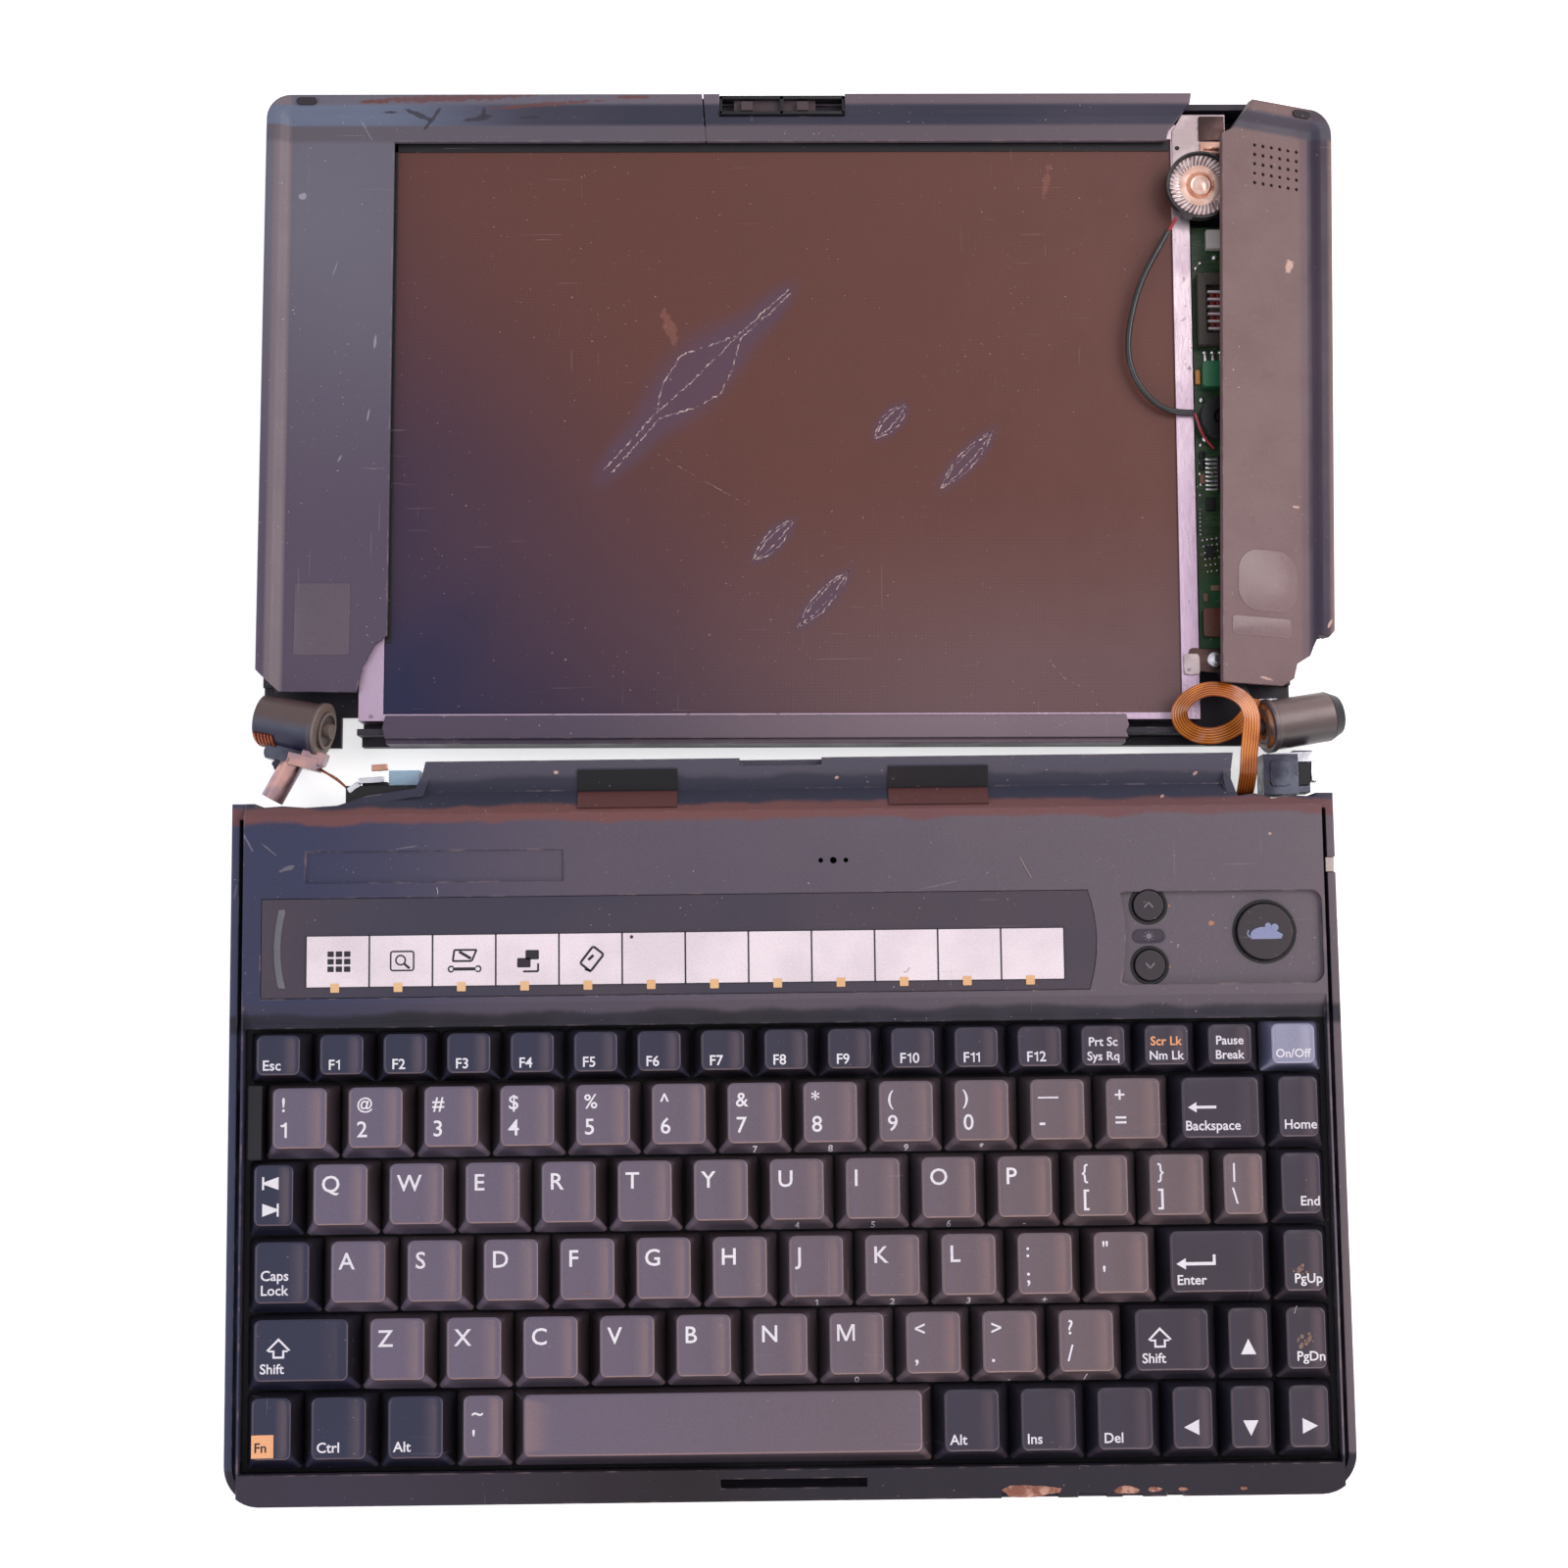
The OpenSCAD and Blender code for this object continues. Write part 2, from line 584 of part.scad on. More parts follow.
module key_cap(row, i) {
  x = key_x(row, i);
  y = row_y(row);
  w = key_w(row, i);
  d = row_cap_d(row);
  side = min(2.6, w * 0.16);
  front = row == 0 ? 2.2 : 2.8;
  top_z = cap_z + cap_h;
  difference() {
    tapered([x, y, x + w, y + d], [x + side, y + front, x + w - side, y + d - 0.6], cap_z, top_z);
    tapered([x + cap_wall, y + cap_wall, x + w - cap_wall, y + d - cap_wall],
            [x + side + 0.6, y + front + 0.4, x + w - side - 0.6, y + d - 0.6 - cap_wall],
            cap_z - 0.02, top_z - cap_wall - 0.3);
  }
  for (s = stems(w)) plate(x + s - stem_w / 2, y + d / 2 - stem_w / 2, x + s + stem_w / 2,
                           y + d / 2 + stem_w / 2, plate_z + 0.5, top_z - cap_wall - 0.2);
}

module keys(row, first, last) for (i = [first:last]) key_cap(row, i);

module keyboard_plate() color([0.14, 0.14, 0.16]) at_origin() {
  plate_x = base_w / 2 - wall - 3 * fit;
  hole = stem_w + 2 * stem_gap;
  translate([0, 0, plate_z]) linear_extrude(plate_t) difference() {
    translate([-plate_x, keys_front - 2]) square([2 * plate_x, keys_rear - keys_front + 4]);
    for (row = [0:5], i = [0:len(KEY_ROWS[row]) - 1], s = stems(key_w(row, i)))
      translate([key_x(row, i) + s - hole / 2, row_y(row) + row_cap_d(row) / 2 - hole / 2]) square(hole);
  }
}

module key_filler() color(modifier_grey) at_origin() {
  plate(keys_x0 + 0.3, row_y(1), keys_x0 + filler_pitch - key_gap / 2, row_y(1) + key_pitch - key_gap,
        plate_z + plate_t, cap_z + cap_h - 1.5);
}

module function_row_keys() color(modifier_grey) at_origin() keys(0, 0, 16);
module number_row_keys() color(letter_grey) at_origin() keys(1, 0, 11);
module backspace_key() color(modifier_grey) at_origin() keys(1, 12, 12);
module tab_key() color(modifier_grey) at_origin() keys(2, 0, 0);
module top_letter_keys() color(letter_grey) at_origin() keys(2, 1, 13);
module caps_lock_key() color(modifier_grey) at_origin() keys(3, 0, 0);
module home_letter_keys() color(letter_grey) at_origin() keys(3, 1, 11);
module enter_key() color(modifier_grey) at_origin() keys(3, 12, 12);
module left_shift_key() color(modifier_grey) at_origin() keys(4, 0, 0);
module bottom_letter_keys() color(letter_grey) at_origin() keys(4, 1, 10);
module right_shift_key() color(modifier_grey) at_origin() keys(4, 11, 11);
module space_bar() color(letter_grey) at_origin() keys(5, 4, 4);

module paging_keys() color(modifier_grey) at_origin() {
  key_cap(1, 13);
  key_cap(2, 14);
  key_cap(3, 13);
  key_cap(4, 13);
}

module arrow_keys() color(modifier_grey) at_origin() {
  key_cap(4, 12);
  keys(5, 8, 10);
}

module modifier_keys() color(modifier_grey) at_origin() {
  keys(5, 0, 3);
  keys(5, 5, 7);
}

// ---- Lid ----

module lid_outline(inset = 0) {
  round_rect(-lid_w / 2 + inset, inset, lid_w / 2 - inset, lid_d - inset,
             max(lid_near_r - inset, 0.3), max(lid_corner_r - inset, 0.3));
}

lip_out = bezel_wall + lip_gap;

module lid_back() color(plastic) on_lid() difference() {
  union() {
    linear_extrude(lid_floor) lid_outline();
    translate([0, 0, lid_floor]) linear_extrude(lip_top - lid_floor) difference() {
      lid_outline(lip_out);
      round_rect(-lid_w / 2 + lip_out + lip_t, lip_out + lip_t, lid_w / 2 - lip_out - lip_t,
                 lid_d - lip_out - lip_t, 0.3, lid_corner_r - lip_out - lip_t);
    }
    translate([0, 0, lid_floor]) linear_extrude(lid_h - skirt_h - lid_floor - 0.2) difference() {
      lid_outline();
      lid_outline(lip_out + 0.5);
    }
    for (p = INVERTER_POSTS) translate([p[0], p[1], 0]) cylinder(r = 2.6, h = inverter_z);
  }
  for (s = [-1, 1]) translate([s * lid_w / 2, 0, 0])
    plate(-lid_w / 2 + hinge_pocket_u, -1, lid_w / 2 - hinge_pocket_u, hinge_pocket_v, lid_floor, lid_h);
  plate(-lid_w / 2 + 20.7, -1, frame_u0 - 0.2, 8.2, -1, lid_h);
  plate(latch_u - latch_w / 2 - 0.5, lid_d - lip_out - lip_t - 1, latch_u + latch_w / 2 + 0.5, lid_d + 1, lip_top - 1, lid_h);
}

INVERTER_POSTS = [[inverter_u0 + 6, inverter_v0 + 4], [inverter_u0 + 6, 66], [inverter_u0 + 6, 133]];

// The bezel that is left, seen from above: its right end and its lower left corner are torn away.
module bezel_outline() {
  difference() {
    lid_outline();
    polygon([
      [screen_u0, 28.7], [screen_u0 - 3.2, 26.4], [screen_u0 - 6.4, 20.4], [screen_u0 - 7.9, 13.6],
      [-131, 13.7], [-lid_w / 2 - 1, 20.6], [-lid_w / 2 - 1, -1], [lid_w / 2 + 1, -1],
      [lid_w / 2 + 1, lid_d + 1], [screen_u1 + 5.4, lid_d + 1], [screen_u1 + 4.8, lid_d - 3],
      [screen_u1 + 0.6, lid_d - 8.4], [screen_u1 - 0.7, lid_d - 10], [screen_u1 - 1.5, screen_v1],
      [screen_u0, screen_v1]
    ]);
  }
}

// The bezel's edge, cut across: x is the distance in from the outer edge, y the height.
module bezel_profile(reach) {
  low_z = lid_h - rim_h;
  mid_z = lid_h - rim_h / 2;
  polygon([
    [0, lid_h - skirt_h], [0, lid_h - 0.9], [0.3, lid_h - 0.3], [0.9, lid_h], [rim_w, lid_h],
    [rim_w + 0.2 * step_w, lid_h - 0.08 * rim_h], [rim_w + 0.38 * step_w, lid_h - 0.3 * rim_h],
    [rim_w + step_w / 2, mid_z], [rim_w + 0.62 * step_w, lid_h - 0.7 * rim_h],
    [rim_w + 0.8 * step_w, lid_h - 0.92 * rim_h], [rim_w + step_w, low_z], [reach, low_z],
    [reach, lip_top], [bezel_wall, lip_top], [bezel_wall, lid_h - skirt_h]
  ]);
}

// The bezel along the lid's left and far edges, with the round corner between them.
module bezel_edges() {
  reach = lid_w / 2 + screen_u0;
  translate([-lid_w / 2, lid_d - lid_corner_r, 0]) rotate([90, 0, 0]) linear_extrude(lid_d) bezel_profile(reach);
  translate([-lid_w / 2 + lid_corner_r, lid_d, 0]) rotate([90, 0, 90])
    linear_extrude(lid_w) mirror([1, 0]) bezel_profile(lid_d - screen_v1);
  translate([-lid_w / 2 + lid_corner_r, lid_d - lid_corner_r, 0]) rotate(90)
    rotate_extrude(angle = 90) intersection() {
      translate([lid_corner_r, 0]) mirror([1, 0]) bezel_profile(lid_corner_r + 1);
      square([lid_corner_r, lid_h]);
    }
}

module bezel_main() color(plastic) on_lid() difference() {
  intersection() {
    union() {
      bezel_edges();
      translate([0, 0, lip_top]) linear_extrude(bezel_t - rim_h) lid_outline(rim_w + step_w - 0.5);
    }
    linear_extrude(lid_h) bezel_outline();
  }
  plate(latch_u - latch_w / 2, lid_d - latch_d, latch_u + latch_w / 2, lid_d + 1, lip_top - 1.1, lid_h + 1);
  translate([-18.8, lid_d - 14.5, lip_top - 1]) rotate(4) cube([0.35, 15, 5]);
}

module lid_latch() color(plastic) on_lid() translate([latch_u, 0, 0]) {
  slider_z = lip_top - 0.7;
  plate(-13, lid_d - 5.4, 9, lid_d - 0.8, slider_z, slider_z + 1.9);
  for (u = [-11, 4]) plate(u, lid_d - 4.8, u + 3, lid_d - 2.4, slider_z + 1.8, lid_h - 0.2);
}

module bezel_lower_strip() color(plastic) on_lid() {
  translate([0, 0, lip_top]) linear_extrude(bezel_t - rim_h) polygon([
    [-102.8, 1.2], [92.2, 1.2], [91.6, 2.8], [92.4, 4.4], [91.6, screen_v0], [-102.8, screen_v0], [-103.6, 4]
  ]);
  plate(-102.8, 0, 91.6, bezel_wall, lid_h - skirt_h, lip_top + eps);
}

// The bezel's right side has snapped off and leans on the lid's lip and the table.
module side_outline() difference() {
  round_rect(0, side_v0, side_w, side_v1, 0.5, lid_corner_r);
  polygon([[-1, side_v1 + 1], [-1, side_v1 - 11], [3, side_v1 - 8.6], [7.4, side_v1 - 2.4], [9.4, side_v1 + 1]]);
  polygon([
    [side_w + 1, side_v0 - 1], [side_w + 1, side_v0 + 17], [side_w - 2.4, side_v0 + 13.6],
    [side_w - 4.8, side_v0 + 14.4], [side_w - 7, side_v0 + 8.6], [side_w - 11, side_v0 + 6.2],
    [side_w - 12, side_v0 + 2.2], [side_w - 17, side_v0 - 1]
  ]);
}

// The bezel's edge in the broken piece's own plane, where its face is at height 0.
module side_profile(reach) {
  translate([0, -lid_h]) bezel_profile(reach);
}

module side_edges() {
  translate([side_w, side_v1 - lid_corner_r, 0]) rotate([90, 0, 0]) linear_extrude(lid_d)
    mirror([1, 0]) side_profile(side_w);
  translate([side_w - lid_corner_r, side_v1, 0]) rotate([90, 0, -90])
    linear_extrude(side_w) side_profile(lid_d - screen_v1);
  translate([side_w - lid_corner_r, side_v1 - lid_corner_r, 0]) rotate_extrude(angle = 90) intersection() {
    translate([lid_corner_r, 0]) mirror([1, 0]) side_profile(lid_corner_r + 1);
    translate([0, -skirt_h]) square([lid_corner_r, skirt_h]);
  }
}

module bezel_side_piece() color(plastic) in_side_piece() difference() {
  intersection() {
    union() {
      side_edges();
      translate([0, 0, -bezel_t]) linear_extrude(bezel_t - rim_h)
        translate([-1, 0]) square([side_w - rim_w - step_w + 1.5, side_v1 - rim_w - step_w + 0.5]);
    }
    translate([0, 0, -skirt_h]) linear_extrude(skirt_h) side_outline();
  }
  translate([-1, side_v1 - rim_w - step_w, -skirt_h - 1])
    cube([side_clear_s + 1, rim_w + step_w + 1, skirt_h + 1 - bezel_t]);
  for (i = [-2.5:2.5], j = [-2:2])
    translate([grille_s + i * grille_pitch, grille_v + j * grille_pitch, -bezel_t - 1])
      cylinder(r = grille_r, h = bezel_t + 2, $fn = 16);
}

module lid_bumpers() color(black) {
  on_lid() translate([-lid_w / 2 + 11, lid_d - 2.3, lid_h]) bumper();
  in_side_piece() translate([side_w - 10, side_v1 - 2.3, 0]) bumper();
}

// A low oval rubber pad on the rim.
module bumper() linear_extrude(0.5) {
  for (x = [-1.7, 1.7]) translate([x, 0]) circle(1);
  translate([-1.7, -1]) square([3.4, 2]);
}

module lcd_panel() color([0.22, 0.15, 0.16]) on_lid() {
  plate(frame_u0 + frame_t + 0.1, frame_v0 + frame_t + 0.1, frame_u1 - frame_t - 0.1,
        frame_v1 - frame_t - 0.1, lid_floor, glass_z);
}

module lcd_frame() color(silver) on_lid() {
  difference() {
    plate(frame_u0, frame_v0, frame_u1, frame_v1, lid_floor, glass_z + frame_t);
    plate(frame_u0 + frame_t, frame_v0 + frame_t, frame_u1 - frame_t, frame_v1 - frame_t,
          lid_floor - 1, glass_z);
    plate(screen_u0 - 1, screen_v0 + 0.6, screen_u1, screen_v1 + 1, lid_floor - 1, lid_h);
  }
}

// A thin plate that ties the screen's frame to the lid's far corner.
module corner_bracket() color(silver) on_lid() difference() {
  translate([0, 0, glass_z + frame_t]) linear_extrude(bracket_t) polygon([
    [screen_u1 + 0.4, screen_v1 - 11], [frame_u1 + 10, screen_v1 - 11], [frame_u1 + 10, lid_d - 5.2],
    [frame_u1 - 1.6, lid_d - 5.2], [screen_u1 + 0.4, screen_v1 + 3]
  ]);
  translate([screen_u1 + 1.7, screen_v1 - 1.6, glass_z]) cylinder(r = 0.6, h = 3);
}

module inverter_board() color(board_green) on_lid() difference() {
  plate(inverter_u0, inverter_v0, inverter_u1, inverter_v1, inverter_z, part_z);
  translate([inverter_u1 - 5, inverter_v0 - 1, inverter_z - 1]) cube([6, 9, 4]);
}

// Parts on the inverter board keep their distance from its far end.
module on_board() on_lid() translate([0, inverter_v1 - 140, 0]) children();

module transformer() color(black) on_board() translate([inverter_u0 + 0.9, 106.7, part_z]) {
  difference() {
    cube([15, 19.7, 3.3]);
    translate([2.2, 3.2, 1.1]) cube([10.6, 13.3, 4]);
  }
  translate([3, 9.8, 1.9]) rotate([0, 90, 0]) cylinder(r = 0.79, h = 9);
}

module film_capacitors() color([0.16, 0.36, 0.24]) on_board() {
  translate([0, 0, part_z]) {
    linear_extrude(3) round_rect(inverter_u0 + 1.9, 95.4, inverter_u0 + 10, 102.4, 1, 1);
    linear_extrude(2.2) round_rect(inverter_u0 + 0.8, 28, inverter_u0 + 8.6, 35.6, 0.8, 0.8);
    plate(inverter_u0 + 0.2, 96.6, inverter_u0 + 1.5, 100.4, 0, 0.9);
  }
}

module choke_coil() color(black) on_board() translate([inverter_u0 + 6.9, 87.2, part_z])
  rotate_extrude($fn = 64) polygon([
    [0, 0], [5.8, 0], [5.8, 0.7], [5.2, 0.9], [5.2, 2.3], [5.8, 2.5], [5.8, 3.1], [2.4, 3.1],
    [1.8, 2.4], [0, 2.4]
  ]);

module board_connector() color([0.9, 0.9, 0.86]) on_board() difference() {
  plate(inverter_u0 + 3.8, 133.6, inverter_u0 + 11.6, 138.8, part_z, part_z + 1.9);
  plate(inverter_u0 + 4.6, 134.4, inverter_u0 + 10.8, 140, part_z + 0.6, part_z + 1.4);
}

module board_chips() color(black) on_board() translate([0, 0, part_z]) {
  plate(inverter_u0 + 5.4, 67.6, inverter_u0 + 11.4, 77, 0, 1.6);
  plate(inverter_u0 + 2.4, 62.2, inverter_u0 + 4.6, 65.4, 0, 1);
  plate(inverter_u0 + 8, 57, inverter_u0 + 10.2, 60.2, 0, 1);
  plate(inverter_u0 + 2, 49.4, inverter_u0 + 4.2, 52.6, 0, 1);
}

module speaker_body() color([0.12, 0.11, 0.12]) on_lid() translate([speaker_u, speaker_v, speaker_z])
  rotate_extrude($fn = 72) polygon([
    [0, 0], [speaker_r - 2, 0], [speaker_r - 2, 1.4], [speaker_r, 1.9], [speaker_r, speaker_h],
    [speaker_r - 0.5, speaker_h], [speaker_r - 0.6, speaker_h - 0.9], [0, speaker_h - 0.9]
  ]);

module speaker_membrane() color([0.6, 0.5, 0.45]) on_lid()
  translate([speaker_u, speaker_v, speaker_z + speaker_h - 0.9]) rotate_extrude($fn = 72) polygon([
    [0, 0], [speaker_r - 0.8, 0], [speaker_r - 0.8, 0.3], [speaker_r - 2.2, 0.55], [5.2, 0.2],
    [4.8, 0.35], [2.9, 0.3], [1.8, 0.62], [0, 0.8]
  ]);

module on_cord_route() on_lid() translate([frame_u1 - 111.5, speaker_v - 149.7, lip_top - 11]) children();

module wire_sleeve() color(black) on_cord_route() tube(SLEEVE_ROUTE, sleeve_dia / 2);

module wire_ends() color([0.6, 0.1, 0.12]) on_cord_route() {
  tube(RED_WIRE, wire_r);
  tube(RED_END, wire_r);
}

// ---- Hinges and flex ----

// Puts a hinge's own x axis along its barrel, from its outer to its inner end. side is -1 left, 1 right.
module in_barrel(side) {
  at_origin() translate(side < 0 ? left_barrel : right_barrel)
    rotate(side < 0 ? left_yaw : right_yaw + 180) rotate([0, -barrel_tip, 0]) children();
}

// A barrel with a collar at its inner end.
module barrel() rotate([0, 90, 0]) {
  translate([0, 0, -barrel_l / 2]) cylinder(r = barrel_r, h = barrel_l);
  translate([0, 0, barrel_l / 2 - eps]) cylinder(r = barrel_r + 0.5, h = 1.4);
}

// The bolt and washer on a barrel's inner end.
module barrel_bolt() rotate([0, 90, 0]) translate([0, 0, barrel_l / 2 + 1.4]) {
  difference() {
    cylinder(r = barrel_r - 1.6, h = 1);
    translate([0, 0, 0.5]) cylinder(r = barrel_r - 2.4, h = 1);
  }
  cylinder(r = 1.9, h = 2.2);
}

module hinge_barrel_left() color([0.14, 0.15, 0.2]) in_barrel(-1) {
  barrel();
  barrel_bolt();
}

module hinge_spring_left() color([0.7, 0.5, 0.38]) in_barrel(-1) {
  turns = 4;
  steps = 14;
  coil_r = barrel_r + spring_wire_r + 0.15;
  tube([for (i = [0:turns * steps]) [-barrel_l / 2 + 1.5 + i * 0.08,
    coil_r * cos(360 * i / steps), coil_r * sin(360 * i / steps)]], spring_wire_r, 6);
}

module hinge_arm_left() color(silver) at_origin() {
  difference() {
    translate([-base_w / 2 + 6.9, base_d - 7.8, 9.6]) rotate(-29) rotate([-90, 0, 0]) cylinder(r = pin_r, h = 11);
    translate([-base_w / 2 + 6.9, base_d - 7.8, 9.6]) rotate(-29) rotate([-90, 0, 0]) translate([0, 0, -1]) cylinder(r = pin_r - 0.8, h = 5);
  }
  translate([-base_w / 2 + 11.4, base_d + 1.2, 6.8]) rotate(-14) cube([8, 3.2, 7.4]);
}

module hinge_barrel_right() color([0.22, 0.2, 0.21]) in_barrel(1) {
  barrel();
  barrel_bolt();
}

module hinge_cap_right() color(black) in_barrel(1) rotate([0, -90, 0]) translate([0, 0, barrel_l / 2 + 0.1])
  cylinder(r1 = barrel_r, r2 = barrel_r - 1.4, h = barrel_end_l);

module hinge_arm_right() color(silver) at_origin() {
  translate([base_w / 2, 0, 0]) {
    plate(-16, pocket_y + 1.2, -7, base_d + 0.4, 9, 17);
    plate(-7 - eps, pocket_y + 1.8, -3.6, base_d - 0.6, 9, 15.4);
    plate(-7, base_d - 0.6 - eps, -2, base_d + 1.8, 8, 12);
  }
}

module flex_ribbon() color([0.8, 0.42, 0.12]) at_origin() translate([base_w / 2 - 141, base_d - 185, 0])
  band(FLEX_ROUTE, flex_w, flex_t);

base_tray();
base_top_cover();
keyboard_plate();
key_filler();
mainboard();
battery_pack();
hard_drive();
card_cage();
label_panel();
label_card();
rubber_feet();
base_screws();
rear_connectors();
blue_connector();
status_light();
glossy_pads();
hinge_arm_left();
hinge_barrel_left();
hinge_spring_left();
hinge_arm_right();
hinge_barrel_right();
hinge_cap_right();
flex_ribbon();
lid_back();
bezel_main();
bezel_lower_strip();
bezel_side_piece();
lcd_frame();
lcd_panel();
corner_bracket();
inverter_board();
transformer();
film_capacitors();
choke_coil();
board_connector();
board_chips();
speaker_body();
speaker_membrane();
wire_sleeve();
wire_ends();
lid_bumpers();
lid_latch();
function_row_keys();
number_row_keys();
backspace_key();
paging_keys();
tab_key();
top_letter_keys();
caps_lock_key();
home_letter_keys();
enter_key();
left_shift_key();
bottom_letter_keys();
right_shift_key();
arrow_keys();
modifier_keys();
space_bar();
brightness_up_button();
brightness_down_button();
eject_button();
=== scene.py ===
"""The broken laptop's looks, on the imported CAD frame. Lengths are in millimetres unless said otherwise."""
import bmesh
import bpy
import json
import math
import random
from mathutils import Matrix, Vector

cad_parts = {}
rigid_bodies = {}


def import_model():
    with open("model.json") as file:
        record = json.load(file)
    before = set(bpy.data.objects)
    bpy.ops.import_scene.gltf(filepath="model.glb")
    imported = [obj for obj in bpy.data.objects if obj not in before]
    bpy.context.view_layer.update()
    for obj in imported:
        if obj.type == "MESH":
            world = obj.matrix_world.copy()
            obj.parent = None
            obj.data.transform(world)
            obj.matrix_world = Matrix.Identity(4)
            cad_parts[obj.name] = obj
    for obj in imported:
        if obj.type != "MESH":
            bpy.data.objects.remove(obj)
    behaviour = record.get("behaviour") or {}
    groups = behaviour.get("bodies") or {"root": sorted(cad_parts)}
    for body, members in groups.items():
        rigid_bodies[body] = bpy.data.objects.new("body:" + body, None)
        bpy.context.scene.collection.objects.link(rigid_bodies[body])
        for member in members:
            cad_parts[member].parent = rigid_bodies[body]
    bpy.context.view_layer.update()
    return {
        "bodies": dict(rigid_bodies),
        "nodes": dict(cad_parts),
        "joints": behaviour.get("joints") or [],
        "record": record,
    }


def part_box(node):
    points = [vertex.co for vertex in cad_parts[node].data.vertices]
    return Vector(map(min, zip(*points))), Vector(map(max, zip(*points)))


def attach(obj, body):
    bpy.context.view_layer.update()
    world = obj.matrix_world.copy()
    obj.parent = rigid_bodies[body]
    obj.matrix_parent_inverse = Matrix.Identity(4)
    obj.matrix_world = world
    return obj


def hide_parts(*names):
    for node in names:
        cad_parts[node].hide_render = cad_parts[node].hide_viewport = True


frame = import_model()
NODES = frame["nodes"]
MM = 0.001
BUMP_DEPTH = 0.0002
CHASSIS = "chassis"


# ---- Places ----

def base_matrix():
    """From the base's own millimetres, from the middle of its front edge, to the row frame."""
    low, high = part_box("base_tray")
    return Matrix.Translation(((low[0] + high[0]) / 2, low[1], 0)) @ Matrix.Scale(MM, 4)


LID_DEPTH = 176
LID_YAW = math.radians(-0.5)
SIDE_TILT = math.radians(20)
SIDE_YAW = math.radians(-1.2)
SIDE_U = 116.2
SIDE_Z = 20.855


def lid_matrix():
    """From the lid's u and v, from the middle of its hinge edge, to the row frame."""
    low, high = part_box("lid_back")
    middle = ((low[0] + high[0]) / 2, (low[1] + high[1]) / 2, 0)
    turn = Matrix.Translation(middle) @ Matrix.Rotation(LID_YAW, 4, "Z")
    return turn @ Matrix.Scale(MM, 4) @ Matrix.Translation((0, -LID_DEPTH / 2, 0))


BASE = base_matrix()
LID = lid_matrix()
SIDE = (LID @ Matrix.Translation((SIDE_U, 0, SIDE_Z)) @ Matrix.Rotation(SIDE_YAW, 4, "Z")
        @ Matrix.Rotation(SIDE_TILT, 4, "Y"))
DECK = 26.0


# ---- Materials ----

def rgb(red, green, blue_reflection):
    """An sRGB colour in 0 to 255 as linear red, green, blue and alpha."""
    linear = []
    for value in (red, green, blue_reflection):
        share = value / 255
        linear.append(share / 12.92 if share <= 0.04045 else ((share + 0.055) / 1.055) ** 2.4)
    return (*linear, 1)


